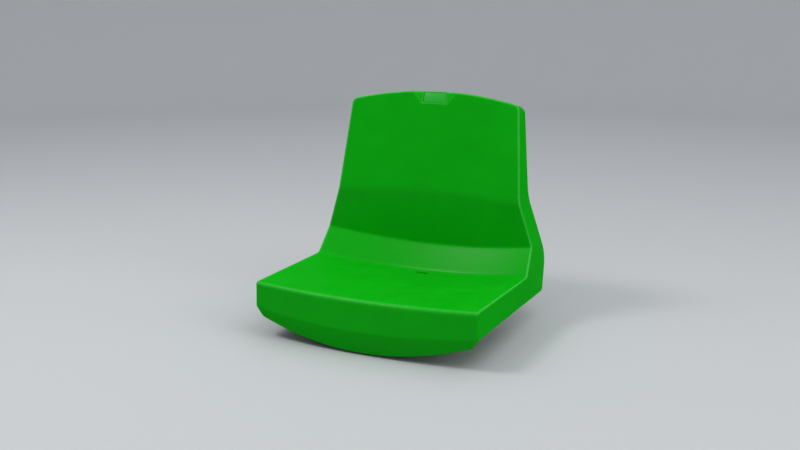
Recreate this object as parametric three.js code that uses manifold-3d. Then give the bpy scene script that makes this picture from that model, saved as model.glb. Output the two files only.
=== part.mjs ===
// Stadium seat: a one-piece moulded shell with a wrap-round skirt, bolted to two folded steel feet.
// Millimetres, +Z up, +Y towards the back, +X to the right as seen from the front.
import * as THREE from "three";
import { mergeVertices } from "three/addons/utils/BufferGeometryUtils.js";
import { ConvexGeometry } from "three/addons/geometries/ConvexGeometry.js";
import Module from "manifold-3d";

const wasm = await Module();
wasm.setup();

// Widths of the sitting face across its edge lines, from the front edge up to the top corners.
const frontWidth = 452;
const junctionWidth = 467;
const bandTopWidth = 458;
const creaseWidth = 403;
const topWidth = 367;

// Side edge line of the sitting face: pan, sloping band, lower back and upper back, leg by leg.
const panDepth = 253;
const panRearDrop = 3;
const bandRun = 42;
const bandRise = 51;
const lowerBackRise = 86;
const lowerBackLean = 4;
const upperBackRise = 188;
const upperBackLean = 35.5;

// How far the middle of the face lies from the side line: back (bow) and down (dip) or up (arch).
const frontBow = 12;
const frontDip = 3.5;
const junctionBow = 27;
const junctionDip = 24;
const bandTopBow = 22;
const bandTopDip = 21;
const creaseBow = 17;
const creaseArch = 7.5;
const topBow = 10;
const topArch = 21.5;

// Roundings where two legs of the face meet, each the length that it takes from either leg.
const junctionRound = 9;
const bandTopRound = 3;
const creaseRound = 20;

// Shell wall, and the roundings along the edges of the face.
const wall = 4;
const frontEdgeRound = 7.5;
const sideEdgeRound = 4;
const topEdgeRound = 4;
const frontCornerRadius = 5;
const topCornerRadius = 10;
const leastRound = 1.2;

// Skirt: its free edge runs back under the pan, up round the hips and behind the back.
const skirtDraft = 2.5;
const skirtFrontDepth = 49.5;
const skirtFrontSetback = 1.4;
const skirtRearReach = 351;
const skirtRearDepth = 55;
const skirtHipReach = 379;
const skirtHipHeight = 17;
const skirtWaistReach = 339.5;
const skirtWaistHeight = 141;
const skirtTopReach = 32;
const skirtTopFall = 8.5;
const skirtRearRound = 9;
const skirtHipRound = 26;
const skirtWaistRound = 22;
const lipRound = 1;
const apronCreaseRound = 5;

// Front apron: the crease bows forward across the front, and the lower band ends in an arc.
const creaseForward = 16;
const apronCreaseDip = 14.5;
const apronHalfWidth = 214;
const apronEndDrop = 69.5;
const apronEndSetback = 5;
const apronForward = 8;
const apronArcDip = 38;
const apronCornerOut = 6.5;
const apronCornerDrop = 62;

// Ribs and fixing bosses under the pan and behind the back.
const ribThickness = 3;
const ribDepth = 14;
const ribEmbed = 3;
const outerRibSpacing = 300;
const frontRibBack = 52;
const upperRibHeight = 232;
const bossRadius = 12;
const bossTopRadius = 13.5;
const bossFloorDepth = 46;
const bossSpacingX = 150;
const bossFrontBack = 128;
const bossSpacingY = 70;

// Drain slot through the lowest line of the face.
const slotLength = 30;
const slotWidth = 6;
const slotSetback = 7;

// Number pocket at the top of the back, and the blank plate that sits in it.
const padWidth = 56;
const padHeight = 27;
const padDepth = 7;
const padFlare = 20;
const backingFootShare = 1.25;
const plateWidth = 49.4;
const plateHeight = 21.4;
const plateThickness = 1.2;
const plateCornerRadius = 2;
const plateSink = 1;
const pegRadius = 1.5;
const pegLength = 4.5;
const pegSpacing = 34;

// Moulded-in threaded inserts, bolts and washers, size M8.
const threadRadius = 4;
const insertRadius = 6;
const insertLength = 16;
const insertChamfer = 0.8;
const boltLength = 25;
const boltHeadAcrossFlats = 13;
const boltHeadHeight = 5.3;
const boltEndChamfer = 1;
const headChamferAngle = Math.PI / 6;
const washerRadius = 8;
const washerThickness = 1.6;
const lockWasherRadius = 7.4;
const lockWasherThickness = 2;
const lockWasherSlit = 2.2;
const boreClearance = 0.5;

// Steel feet: flat strip folded to a bridge with two slotted foot flanges.
const stripWidth = 40;
const stripThickness = 5;
const bendRadius = 5;
const feetDepth = 112;
const frontToeBack = 70;
const frontHeelBack = 104;
const bridgeFrontBack = 111;
const bridgeRearBack = 215;
const rearHeelBack = 222;
const rearToeBack = 262;
const anchorSlotWidth = 11;
const anchorSlotLength = 22;
const toeCornerRadius = 6;

// Gap between pieces that touch, and how far a cutter runs past what it cuts.
const gap = 0.3;
const overrun = 5;

// How finely the curves are divided.
const columnCount = 14;
const cornerSteps = 3;
const roundSteps = 3;
const edgeSteps = 3;
const creaseSteps = 2;
const turnSides = 20;
const headSides = 6;
const panRowShares = [0.5, 1];
const bandRowShares = [1];
const lowerBackRowShares = [1];
const upperBackRowShares = [0.5];
const skirtKneeShare = 0.9;

// Materials.
const shellGreen = new THREE.MeshStandardMaterial({ color: 0x12931a, roughness: 0.42, metalness: 0 });
const plateGreen = new THREE.MeshStandardMaterial({ color: 0x12931a, roughness: 0.35, metalness: 0 });
const galvanised = new THREE.MeshStandardMaterial({ color: 0x9aa0a3, roughness: 0.5, metalness: 0.9 });
const zincPlated = new THREE.MeshStandardMaterial({ color: 0xb4b8bb, roughness: 0.3, metalness: 1 });
const brass = new THREE.MeshStandardMaterial({ color: 0xb08d45, roughness: 0.35, metalness: 1 });

// Solid from a closed geometry, for joining and cutting.
function solidFrom(geometry) {
  const bare = geometry.clone();
  bare.deleteAttribute("normal");
  bare.deleteAttribute("uv");
  const merged = mergeVertices(bare);
  const triVerts = merged.index.array;
  const vertProperties = merged.attributes.position.array;
  return new wasm.Manifold(new wasm.Mesh({ numProp: 3, vertProperties, triVerts }));
}

// Geometry from a solid.
function geometryFrom(solid) {
  const mesh = solid.getMesh();
  const geometry = new THREE.BufferGeometry();
  geometry.setAttribute("position", new THREE.BufferAttribute(new Float32Array(mesh.vertProperties), 3));
  geometry.setIndex(new THREE.BufferAttribute(new Uint32Array(mesh.triVerts), 1));
  geometry.computeVertexNormals();
  return geometry;
}

function namedMesh(name, geometry, material) {
  const mesh = new THREE.Mesh(geometry, material);
  mesh.name = name;
  return mesh;
}

// Point that lies a length along the way from one point to another.
function towards(from, to, length) {
  return from.clone().addScaledVector(to.clone().sub(from).normalize(), length);
}

// Line through knots, with each inner knot rounded by a parabola that starts and ends a tangent
// length from it. A place on it is a leg and a share of that leg's straight part, or a knot and a
// share of its rounding.
class RoundedLine {
  constructor(knots, rounds) {
    this.knots = knots;
    this.rounds = rounds;
  }

  legStart(leg) {
    return towards(this.knots[leg], this.knots[leg + 1], this.rounds[leg]);
  }

  legEnd(leg) {
    return towards(this.knots[leg + 1], this.knots[leg], this.rounds[leg + 1]);
  }

  legLength(leg) {
    return this.legStart(leg).distanceTo(this.legEnd(leg));
  }

  at(place) {
    if (place.leg !== undefined) {
      return this.legStart(place.leg).lerp(this.legEnd(place.leg), place.share);
    }
    const curve = new THREE.QuadraticBezierCurve3(
      this.legEnd(place.knot - 1),
      this.knots[place.knot],
      this.legStart(place.knot),
    );
    return curve.getPoint(place.share);
  }

  // The same line moved away from the sitter by a wall, in the plane of the section, with mitred knots.
  offset(depth) {
    const normals = this.knots.slice(1).map((knot, leg) => {
      const along = knot.clone().sub(this.knots[leg]);
      return new THREE.Vector3(0, along.z, -along.y).normalize();
    });
    const knots = this.knots.map((knot, index) => {
      const before = normals[Math.max(index - 1, 0)];
      const after = normals[Math.min(index, normals.length - 1)];
      const mitre = before.clone().add(after).divideScalar(1 + before.dot(after));
      return knot.clone().addScaledVector(mitre, depth);
    });
    const rounds = this.rounds.map((round, index) => {
      if (index === 0 || index === normals.length) {
        return round;
      }
      const before = normals[index - 1];
      const after = normals[index];
      const turn = Math.atan2(before.z * after.y - before.y * after.z, before.dot(after));
      return Math.max(round - depth * Math.tan(turn / 2), leastRound);
    });
    return new RoundedLine(knots, rounds);
  }
}

// Curved sheet between a side line and a middle line, with a parabola across each row. across runs
// from -1 at one side line to 1 at the other.
class Sheet {
  constructor(side, middle) {
    this.side = side;
    this.middle = middle;
  }

  offset(depth) {
    return new Sheet(this.side.offset(depth), this.middle.offset(depth));
  }

  point(place, across) {
    const side = this.side.at(place);
    const middle = this.middle.at(place);
    const rise = 1 - across * across;
    return new THREE.Vector3(
      side.x * across,
      side.y + (middle.y - side.y) * rise,
      side.z + (middle.z - side.z) * rise,
    );
  }
}

// Sitting face, and the sheet in which the skirt's free edge lies.
const junctionBack = panDepth;
const bandTopBack = junctionBack + bandRun;
const bandTopHeight = bandRise - panRearDrop;
const creaseBack = bandTopBack - lowerBackLean;
const creaseHeight = bandTopHeight + lowerBackRise;
const topBack = creaseBack + upperBackLean;
const topHeight = creaseHeight + upperBackRise;
const faceSide = new RoundedLine(
  [
    new THREE.Vector3(frontWidth / 2, 0, 0),
    new THREE.Vector3(junctionWidth / 2, junctionBack, -panRearDrop),
    new THREE.Vector3(bandTopWidth / 2, bandTopBack, bandTopHeight),
    new THREE.Vector3(creaseWidth / 2, creaseBack, creaseHeight),
    new THREE.Vector3(topWidth / 2, topBack, topHeight),
  ],
  [0, junctionRound, bandTopRound, creaseRound, 0],
);
const faceMiddle = new RoundedLine(
  [
    new THREE.Vector3(0, -frontBow, -frontDip),
    new THREE.Vector3(0, junctionBack + junctionBow, -panRearDrop - junctionDip),
    new THREE.Vector3(0, bandTopBack + bandTopBow, bandTopHeight - bandTopDip),
    new THREE.Vector3(0, creaseBack + creaseBow, creaseHeight + creaseArch),
    new THREE.Vector3(0, topBack + topBow, topHeight + topArch),
  ],
  [0, junctionRound, bandTopRound, creaseRound, 0],
);
const face = new Sheet(faceSide, faceMiddle);

const skirtTopBack = topBack + skirtTopReach;
const skirtTopHeight = topHeight - skirtTopFall;
const skirtRounds = [0, skirtRearRound, skirtHipRound, skirtWaistRound, 0];
const skirtSide = new RoundedLine(
  [
    new THREE.Vector3(frontWidth / 2 + skirtDraft, skirtFrontSetback, -skirtFrontDepth),
    new THREE.Vector3(junctionWidth / 2 + skirtDraft, skirtRearReach, -skirtRearDepth),
    new THREE.Vector3(bandTopWidth / 2 + skirtDraft, skirtHipReach, skirtHipHeight),
    new THREE.Vector3(creaseWidth / 2 + skirtDraft, skirtWaistReach, skirtWaistHeight),
    new THREE.Vector3(topWidth / 2 + skirtDraft, skirtTopBack, skirtTopHeight),
  ],
  skirtRounds,
);
const skirtMiddle = new RoundedLine(
  [
    new THREE.Vector3(0, skirtFrontSetback - creaseForward, -skirtFrontDepth - apronCreaseDip),
    new THREE.Vector3(0, skirtRearReach + junctionBow, -skirtRearDepth - junctionDip),
    new THREE.Vector3(0, skirtHipReach + bandTopBow, skirtHipHeight - bandTopDip),
    new THREE.Vector3(0, skirtWaistReach + creaseBow, skirtWaistHeight + creaseArch),
    new THREE.Vector3(0, skirtTopBack + topBow, skirtTopHeight + topArch),
  ],
  skirtRounds,
);
const skirt = new Sheet(skirtSide, skirtMiddle);

// Rows of the net that covers a sheet, from the front edge to the top edge.
const rows = [];
for (let step = 0; step < cornerSteps; step += 1) {
  rows.push({ corner: "front", inwards: step / cornerSteps });
}
rows.push({ corner: "front", inwards: 1 });
[panRowShares, bandRowShares, lowerBackRowShares, upperBackRowShares].forEach((shares, leg) => {
  if (leg > 0) {
    for (let step = 1; step <= roundSteps; step += 1) {
      rows.push({ place: { knot: leg, share: step / roundSteps } });
    }
  }
  shares.forEach((share) => rows.push({ place: { leg, share } }));
});
for (let step = cornerSteps; step >= 0; step -= 1) {
  rows.push({ corner: "top", inwards: step / cornerSteps });
}
const lastRow = rows.length - 1;
const lastColumn = columnCount + 2 * cornerSteps;
const topLeg = faceSide.knots.length - 2;

// Place on a sheet of one knot of the net. The net stops short of the sheet's edges by the given
// insets, and its corners are rounded: a square of net at each corner is pressed into a quarter disc.
function netPlace(sheet, inset, column, row) {
  const plan = rows[row];
  const side = column < cornerSteps ? -1 : 1;
  const fromEdge = Math.min(column, lastColumn - column);
  const outwards = Math.max(1 - fromEdge / cornerSteps, 0);
  const towardsEnd = plan.corner ? 1 - plan.inwards : 0;
  const outwardsRounded = outwards * Math.sqrt(1 - (towardsEnd * towardsEnd) / 2);
  const endRounded = towardsEnd * Math.sqrt(1 - (outwards * outwards) / 2);
  const frontSize = Math.max(frontCornerRadius - inset.side, leastRound);
  const topSize = Math.max(topCornerRadius - inset.side, leastRound);
  let place = plan.place;
  if (plan.corner === "front") {
    const length = Math.max(frontCornerRadius - inset.front, leastRound);
    const fromFront = inset.front + length * (1 - endRounded);
    place = { leg: 0, share: fromFront / sheet.side.legLength(0) };
  }
  if (plan.corner === "top") {
    const length = Math.max(topCornerRadius - inset.top, leastRound);
    const fromTop = inset.top + length * (1 - endRounded);
    place = { leg: topLeg, share: 1 - fromTop / sheet.side.legLength(topLeg) };
  }
  const cornerSize = THREE.MathUtils.lerp(frontSize, topSize, row / lastRow);
  const halfWidth = sheet.side.at(place).x;
  if (outwards > 0) {
    const fromSide = inset.side + cornerSize * (1 - outwardsRounded);
    return { place, across: side * (1 - fromSide / halfWidth) };
  }
  const innerShare = 1 - (inset.side + cornerSize) / halfWidth;
  const across = innerShare * ((2 * (column - cornerSteps)) / columnCount - 1);
  return { place, across };
}

function netPoint(sheet, inset, column, row) {
  const { place, across } = netPlace(sheet, inset, column, row);
  return sheet.point(place, across);
}

// Columns and rows of the knots round the edge of the net, from the front left corner.
const edgeKnots = [];
for (let column = 0; column < lastColumn; column += 1) {
  edgeKnots.push([column, 0]);
}
for (let row = 0; row < lastRow; row += 1) {
  edgeKnots.push([lastColumn, row]);
}
for (let column = lastColumn; column > 0; column -= 1) {
  edgeKnots.push([column, lastRow]);
}
for (let row = lastRow; row > 0; row -= 1) {
  edgeKnots.push([0, row]);
}

// Triangles of a four-sided cell, cut along the diagonal that mirrors the other half of the seat.
function cellTriangles([a, b, c, d], leftHalf) {
  return leftHalf ? [a, b, d, b, c, d] : [a, b, c, a, c, d];
}

const cellCorners = (column, row) => [
  [column, row],
  [column + 1, row],
  [column + 1, row + 1],
  [column, row + 1],
];
const onLeftHalf = (column, nextColumn) => column + nextColumn < lastColumn;

function edgeLoop(sheet, inset) {
  return edgeKnots.map(([column, row]) => netPoint(sheet, inset, column, row));
}

const evenInset = (depth) => ({ side: depth, front: depth, top: depth });

// Free edge of the skirt for one skin of the wall. Across the front it drops to the apron's arc, and
// at each front corner it swings up to the side skirt.
function freeEdge(depth) {
  const inset = evenInset(depth);
  const halfWidth = apronHalfWidth - depth;
  return edgeKnots.map(([column, row]) => {
    const fromEdge = Math.min(column, lastColumn - column);
    if (row === 0 && fromEdge >= cornerSteps) {
      const across = (2 * (column - cornerSteps)) / columnCount - 1;
      const rise = 1 - across * across;
      const back = apronEndSetback + depth - apronForward * rise;
      return new THREE.Vector3(halfWidth * across, back, -apronEndDrop - apronArcDip * rise);
    }
    if (row > cornerSteps || fromEdge > cornerSteps) {
      return netPoint(skirt, inset, column, row);
    }
    const side = column < cornerSteps ? -1 : 1;
    const swing = (cornerSteps - fromEdge + row) / (2 * cornerSteps);
    const curve = new THREE.QuadraticBezierCurve3(
      new THREE.Vector3(side * halfWidth, apronEndSetback + depth, -apronEndDrop),
      new THREE.Vector3(side * (halfWidth + apronCornerOut), apronEndSetback + depth, -apronCornerDrop),
      netPoint(skirt, inset, side < 0 ? 0 : lastColumn, cornerSteps),
    );
    return curve.getPoint(swing);
  });
}

// Knee of the skirt: the crease across the front, and a point on the flat wall elsewhere.
function kneeLoop(depth, corner, free) {
  const crease = edgeLoop(skirt, evenInset(depth));
  return edgeKnots.map(([, row], index) => {
    if (row <= cornerSteps) {
      return crease[index];
    }
    return corner[index].clone().lerp(free[index], skirtKneeShare);
  });
}

// Rings for one skin of the wall: they round the edge of the face, run down the skirt and round its
// knee. The rounding of the knee stops half way to the free edge where that lies close.
function skirtRings(depth, rounds) {
  const sheet = face.offset(depth);
  const inset = {
    side: depth + rounds.side,
    front: depth + rounds.front,
    top: depth + rounds.top,
  };
  const faceEdge = edgeLoop(sheet, inset);
  const corner = edgeLoop(sheet, evenInset(depth));
  const free = freeEdge(depth);
  const knee = kneeLoop(depth, corner, free);
  const rings = [];
  for (let step = 1; step <= edgeSteps; step += 1) {
    const share = step / edgeSteps;
    rings.push(
      corner.map((tip, index) => {
        const start = faceEdge[index];
        const end = towards(tip, knee[index], tip.distanceTo(start));
        return new THREE.QuadraticBezierCurve3(start, tip, end).getPoint(share);
      }),
    );
  }
  for (let step = 0; step <= creaseSteps; step += 1) {
    const share = step / creaseSteps;
    rings.push(
      knee.map((tip, index) => {
        const start = towards(tip, corner[index], apronCreaseRound);
        const reach = Math.min(apronCreaseRound, tip.distanceTo(free[index]) / 2);
        const end = towards(tip, free[index], reach);
        return new THREE.QuadraticBezierCurve3(start, tip, end).getPoint(share);
      }),
    );
  }
  return { sheet, inset, rings, free };
}

// Closed surface of the moulding: outer face, outer skirt, lip, inner skirt and inner face.
function mouldingGeometry() {
  const outer = skirtRings(0, { side: sideEdgeRound, front: frontEdgeRound, top: topEdgeRound });
  const inner = skirtRings(wall, {
    side: Math.max(sideEdgeRound - wall, leastRound),
    front: Math.max(frontEdgeRound - wall, leastRound),
    top: Math.max(topEdgeRound - wall, leastRound),
  });
  const lastKnee = outer.rings[outer.rings.length - 1];
  const lipOuter = outer.free.map((tip, index) => towards(tip, lastKnee[index], lipRound));
  const lipInner = outer.free.map((tip, index) => towards(tip, inner.free[index], lipRound));
  const rings = [...outer.rings, lipOuter, lipInner, inner.free, ...inner.rings.reverse()];

  const points = [];
  const triangles = [];
  const addNet = (skin) => {
    const first = points.length;
    for (let row = 0; row <= lastRow; row += 1) {
      for (let column = 0; column <= lastColumn; column += 1) {
        points.push(netPoint(skin.sheet, skin.inset, column, row));
      }
    }
    return (column, row) => first + row * (lastColumn + 1) + column;
  };
  const outerKnot = addNet(outer);
  const innerKnot = addNet(inner);
  for (let row = 0; row < lastRow; row += 1) {
    for (let column = 0; column < lastColumn; column += 1) {
      const corners = cellCorners(column, row);
      const leftHalf = onLeftHalf(column, column + 1);
      triangles.push(...cellTriangles(corners.map((knot) => outerKnot(...knot)), leftHalf));
      triangles.push(...cellTriangles(corners.reverse().map((knot) => innerKnot(...knot)), !leftHalf));
    }
  }
  let previous = edgeKnots.map((knot) => outerKnot(...knot));
  const strips = rings.map((ring) => {
    const first = points.length;
    points.push(...ring);
    return ring.map((_, index) => first + index);
  });
  strips.push(edgeKnots.map((knot) => innerKnot(...knot)));
  strips.forEach((strip) => {
    strip.forEach((knot, index) => {
      const next = (index + 1) % strip.length;
      const cell = [previous[index], knot, strip[next], previous[next]];
      triangles.push(...cellTriangles(cell, onLeftHalf(edgeKnots[index][0], edgeKnots[next][0])));
    });
    previous = strip;
  });
  const geometry = new THREE.BufferGeometry();
  geometry.setFromPoints(points);
  geometry.setIndex(triangles);
  return geometry;
}

// Solid between two depths under the face, in which the ribs are cut.
function ribBed() {
  const inset = evenInset(ribEmbed);
  const upper = face.offset(wall - ribEmbed / 2);
  const lower = face.offset(wall + ribDepth);
  const points = [];
  const triangles = [];
  [upper, lower].forEach((sheet) => {
    for (let row = 0; row <= lastRow; row += 1) {
      for (let column = 0; column <= lastColumn; column += 1) {
        points.push(netPoint(sheet, inset, column, row));
      }
    }
  });
  const netSize = points.length / 2;
  const knotOf = ([column, row]) => row * (lastColumn + 1) + column;
  for (let row = 0; row < lastRow; row += 1) {
    for (let column = 0; column < lastColumn; column += 1) {
      const corners = cellCorners(column, row).map(knotOf);
      const leftHalf = onLeftHalf(column, column + 1);
      triangles.push(...cellTriangles(corners, leftHalf));
      triangles.push(...cellTriangles(corners.reverse().map((knot) => netSize + knot), !leftHalf));
    }
  }
  edgeKnots.forEach((knot, index) => {
    const next = edgeKnots[(index + 1) % edgeKnots.length];
    const [a, b] = [knotOf(knot), knotOf(next)];
    triangles.push(...cellTriangles([a, netSize + a, netSize + b, b], onLeftHalf(knot[0], next[0])));
  });
  const geometry = new THREE.BufferGeometry();
  geometry.setFromPoints(points);
  geometry.setIndex(triangles);
  return solidFrom(geometry);
}

// Upright slab for one rib, across the seat or along it.
function slab(width, depth, height, x, y, z) {
  const geometry = new THREE.BoxGeometry(width, depth, height);
  geometry.translate(x, y, z);
  return solidFrom(geometry);
}

const bossPlaces = [-1, 1].flatMap((side) =>
  [0, 1].map((rank) => ({
    name: (side < 0 ? "left" : "right") + (rank ? "_rear" : "_front"),
    x: (side * bossSpacingX) / 2,
    y: bossFrontBack + rank * bossSpacingY,
  })),
);

// Height of the sitting face over a point of the pan. The point's share of the pan's depth is found by
// halving until the halves are finer than this share.
const finestShare = 1e-6;
function panHeight(x, y) {
  let low = 0;
  let high = 1;
  let point = face.point({ leg: 0, share: low }, 0);
  while (high - low > finestShare) {
    const share = (low + high) / 2;
    const halfWidth = faceSide.at({ leg: 0, share }).x;
    point = face.point({ leg: 0, share }, x / halfWidth);
    if (point.y < y) {
      low = share;
    } else {
      high = share;
    }
  }
  return point.z;
}

// Turned piece from a profile of [radius, height] pairs, standing on +Z.
function turned(profile, sides) {
  const points = profile.map(([radius, height]) => new THREE.Vector2(radius, height));
  const geometry = new THREE.LatheGeometry(points, sides);
  geometry.rotateX(Math.PI / 2);
  return geometry;
}

// Tapered boss from the skin of the pan down to its level foot.
function bossSolid({ x, y }) {
  const top = panHeight(x, y) - wall / 2;
  const profile = [
    [0, -bossFloorDepth],
    [bossRadius - lipRound, -bossFloorDepth],
    [bossRadius, lipRound - bossFloorDepth],
    [bossTopRadius, top],
    [0, top],
  ];
  return solidFrom(turned(profile, turnSides)).translate([x, y, 0]);
}

function bossHole({ x, y }) {
  const radius = insertRadius + gap;
  const depth = insertLength + 2 * gap;
  const profile = [
    [0, -bossFloorDepth - overrun],
    [radius, -bossFloorDepth - overrun],
    [radius, depth - bossFloorDepth],
    [0, depth - bossFloorDepth + threadRadius],
  ];
  return solidFrom(turned(profile, turnSides)).translate([x, y, 0]);
}

// Rectangle or slot with round corners, centred on its origin.
function roundedRectangle(width, height, radius) {
  const shape = new THREE.Shape();
  const x = width / 2 - radius;
  const y = height / 2 - radius;
  shape.absarc(x, y, radius, 0, Math.PI / 2);
  shape.absarc(-x, y, radius, Math.PI / 2, Math.PI);
  shape.absarc(-x, -y, radius, Math.PI, 1.5 * Math.PI);
  shape.absarc(x, -y, radius, 1.5 * Math.PI, 2 * Math.PI);
  return shape;
}

function plainExtrusion(shape, depth, curveSegments) {
  return new THREE.ExtrudeGeometry(shape, { depth, bevelEnabled: false, curveSegments });
}

// Frame of the number pad: x across, y up the pad, z out towards the sitter.
const padTop = face.point({ leg: topLeg, share: 1 }, 0);
const backUp = padTop.clone().sub(face.point({ leg: topLeg, share: 0 }, 0)).normalize();
const backOut = new THREE.Vector3(0, -backUp.z, backUp.y);
const padFoot = padTop.clone().addScaledVector(backUp, -padHeight);
const padHead = padTop.clone().addScaledVector(backOut, -padDepth);
const padUp = padHead.clone().sub(padFoot).normalize();
const padOut = new THREE.Vector3(0, -padUp.z, padUp.y);
const padCentre = padFoot.clone().lerp(padHead, 0.5);
const acrossAxis = new THREE.Vector3(1, 0, 0);
const padFrame = new THREE.Matrix4().makeBasis(acrossAxis, padUp, padOut).setPosition(padCentre);

// Pocket with a flat pad and two flared cheeks, deepening from nothing at its foot.
function pocketCutter() {
  const reach = 1 + overrun / padHeight;
  const points = [-1, 1].flatMap((side) => {
    const foot = padFoot.clone();
    foot.x = (side * padWidth) / 2;
    const head = padFoot.clone().lerp(padHead, reach);
    head.x = foot.x;
    const cheek = padFoot.clone().lerp(padTop, reach);
    cheek.x = foot.x + side * padFlare * reach;
    const beyond = head.clone().lerp(cheek, 2);
    return [foot, head, beyond];
  });
  return solidFrom(new ConvexGeometry(points));
}

// Thickening behind the pocket, so that the wall stays whole behind the pad.
function pocketBacking() {
  const points = [-1, 1].flatMap((side) => {
    const x = side * (padWidth / 2 + padFlare);
    const place = (along, depth) => {
      const point = padFoot.clone().addScaledVector(backUp, along).addScaledVector(backOut, -depth);
      point.x = x;
      return point;
    };
    return [
      place(-padHeight / 2, wall / 2),
      place(padHeight - wall, wall / 2),
      place(padHeight - wall, padDepth + wall),
      place(0, wall * backingFootShare),
    ];
  });
  return solidFrom(new ConvexGeometry(points));
}

function plateRecess() {
  const shape = roundedRectangle(plateWidth + 2 * gap, plateHeight + 2 * gap, plateCornerRadius + gap);
  const depth = plateSink + plateThickness + gap;
  const geometry = plainExtrusion(shape, depth + overrun, roundSteps);
  geometry.translate(0, 0, -depth);
  geometry.applyMatrix4(padFrame);
  return solidFrom(geometry);
}

function pegHole(side) {
  const length = 2 * (padDepth + wall);
  const geometry = new THREE.CylinderGeometry(pegRadius + gap, pegRadius + gap, length, turnSides);
  geometry.rotateX(Math.PI / 2);
  geometry.translate((side * pegSpacing) / 2, 0, 0);
  geometry.applyMatrix4(padFrame);
  return solidFrom(geometry);
}

function drainSlot() {
  const lowest = face.point({ leg: 0, share: 1 }, 0);
  const shape = roundedRectangle(slotLength, slotWidth, slotWidth / 2);
  const geometry = plainExtrusion(shape, wall + 2 * overrun, roundSteps);
  geometry.translate(0, faceMiddle.knots[1].y - slotSetback, lowest.z - wall - overrun);
  return solidFrom(geometry);
}

// The whole moulding: skins and skirt, ribs and bosses joined on, then slot, pocket and holes cut.
function shellMesh() {
  const reach = skirtHipReach + topHeight;
  const longRibs = [bossSpacingX, outerRibSpacing].flatMap((spacing) =>
    [-1, 1].map((side) => slab(ribThickness, 2 * reach, 2 * reach, (side * spacing) / 2, 0, 0)),
  );
  const crossRibs = [frontRibBack, bossFrontBack, bossFrontBack + bossSpacingY].map((back) =>
    slab(2 * reach, ribThickness, reach, 0, back, -reach / 2),
  );
  const backRibs = [creaseHeight, upperRibHeight].map((height) =>
    slab(2 * reach, reach, ribThickness, 0, junctionBack + reach / 2, height),
  );
  const slabs = [...longRibs, ...crossRibs, ...backRibs].reduce((sum, next) => sum.add(next));
  const ribs = ribBed().intersect(slabs);
  const added = [ribs, pocketBacking(), ...bossPlaces.map(bossSolid)];
  const cuts = [drainSlot(), pocketCutter(), plateRecess(), pegHole(-1), pegHole(1)];
  const whole = added.reduce((sum, next) => sum.add(next), solidFrom(mouldingGeometry()));
  const cut = [...cuts, ...bossPlaces.map(bossHole)].reduce((sum, next) => sum.subtract(next), whole);
  return namedMesh("seat_shell", geometryFrom(cut), shellGreen);
}

// Blank plate with two push-in pegs on its back.
function plateMesh() {
  const shape = roundedRectangle(plateWidth, plateHeight, plateCornerRadius);
  const body = solidFrom(plainExtrusion(shape, plateThickness, roundSteps));
  const pegs = [-1, 1].map((side) => {
    const length = pegLength + plateThickness / 2;
    const geometry = new THREE.CylinderGeometry(pegRadius, pegRadius, length, turnSides);
    geometry.rotateX(Math.PI / 2);
    geometry.translate((side * pegSpacing) / 2, 0, length / 2 - pegLength);
    return solidFrom(geometry);
  });
  const whole = pegs.reduce((sum, next) => sum.add(next), body);
  const mesh = namedMesh("number_plate", geometryFrom(whole), plateGreen);
  mesh.applyMatrix4(padFrame);
  mesh.translateZ(-plateSink - plateThickness);
  return mesh;
}

// Heights of the stack under each boss.
const stripTop = -bossFloorDepth - gap;
const stripUnder = stripTop - stripThickness;
const washerUnder = stripUnder - gap - washerThickness;
const lockWasherUnder = washerUnder - gap - lockWasherThickness;
const headTop = lockWasherUnder - gap;

function insertMesh({ name, x, y }) {
  const bore = threadRadius + gap;
  const profile = [
    [bore, 0],
    [insertRadius - insertChamfer, 0],
    [insertRadius, insertChamfer],
    [insertRadius, insertLength - insertChamfer],
    [insertRadius - insertChamfer, insertLength],
    [bore, insertLength],
    [bore, 0],
  ];
  const mesh = namedMesh("insert_" + name, turned(profile, turnSides), brass);
  mesh.position.set(x, y, -bossFloorDepth + gap);
  return mesh;
}

// Hexagon-head bolt, head down, with the corners of its head turned off.
function boltMesh({ name, x, y }) {
  const cornerRadius = boltHeadAcrossFlats / (2 * Math.cos(Math.PI / headSides));
  const hexagon = new THREE.CylinderGeometry(cornerRadius, cornerRadius, boltHeadHeight, headSides);
  hexagon.rotateX(Math.PI / 2);
  hexagon.translate(0, 0, -boltHeadHeight / 2);
  const turnedOff = cornerRadius - boltHeadAcrossFlats / 2;
  const cone = turned(
    [
      [0, -boltHeadHeight],
      [boltHeadAcrossFlats / 2, -boltHeadHeight],
      [cornerRadius + turnedOff, -boltHeadHeight + 2 * turnedOff * Math.tan(headChamferAngle)],
      [cornerRadius + turnedOff, 0],
      [0, 0],
    ],
    turnSides,
  );
  const shank = turned(
    [
      [0, -boltHeadHeight / 2],
      [threadRadius, -boltHeadHeight / 2],
      [threadRadius, boltLength - boltEndChamfer],
      [threadRadius - boltEndChamfer, boltLength],
      [0, boltLength],
    ],
    turnSides,
  );
  const head = solidFrom(hexagon).intersect(solidFrom(cone));
  const mesh = namedMesh("bolt_" + name, geometryFrom(head.add(solidFrom(shank))), zincPlated);
  mesh.position.set(x, y, headTop);
  return mesh;
}

function washerMesh({ name, x, y }) {
  const bore = threadRadius + boreClearance;
  const profile = [
    [bore, 0],
    [washerRadius, 0],
    [washerRadius, washerThickness],
    [bore, washerThickness],
    [bore, 0],
  ];
  const mesh = namedMesh("washer_" + name, turned(profile, turnSides), zincPlated);
  mesh.position.set(x, y, washerUnder);
  return mesh;
}

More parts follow.
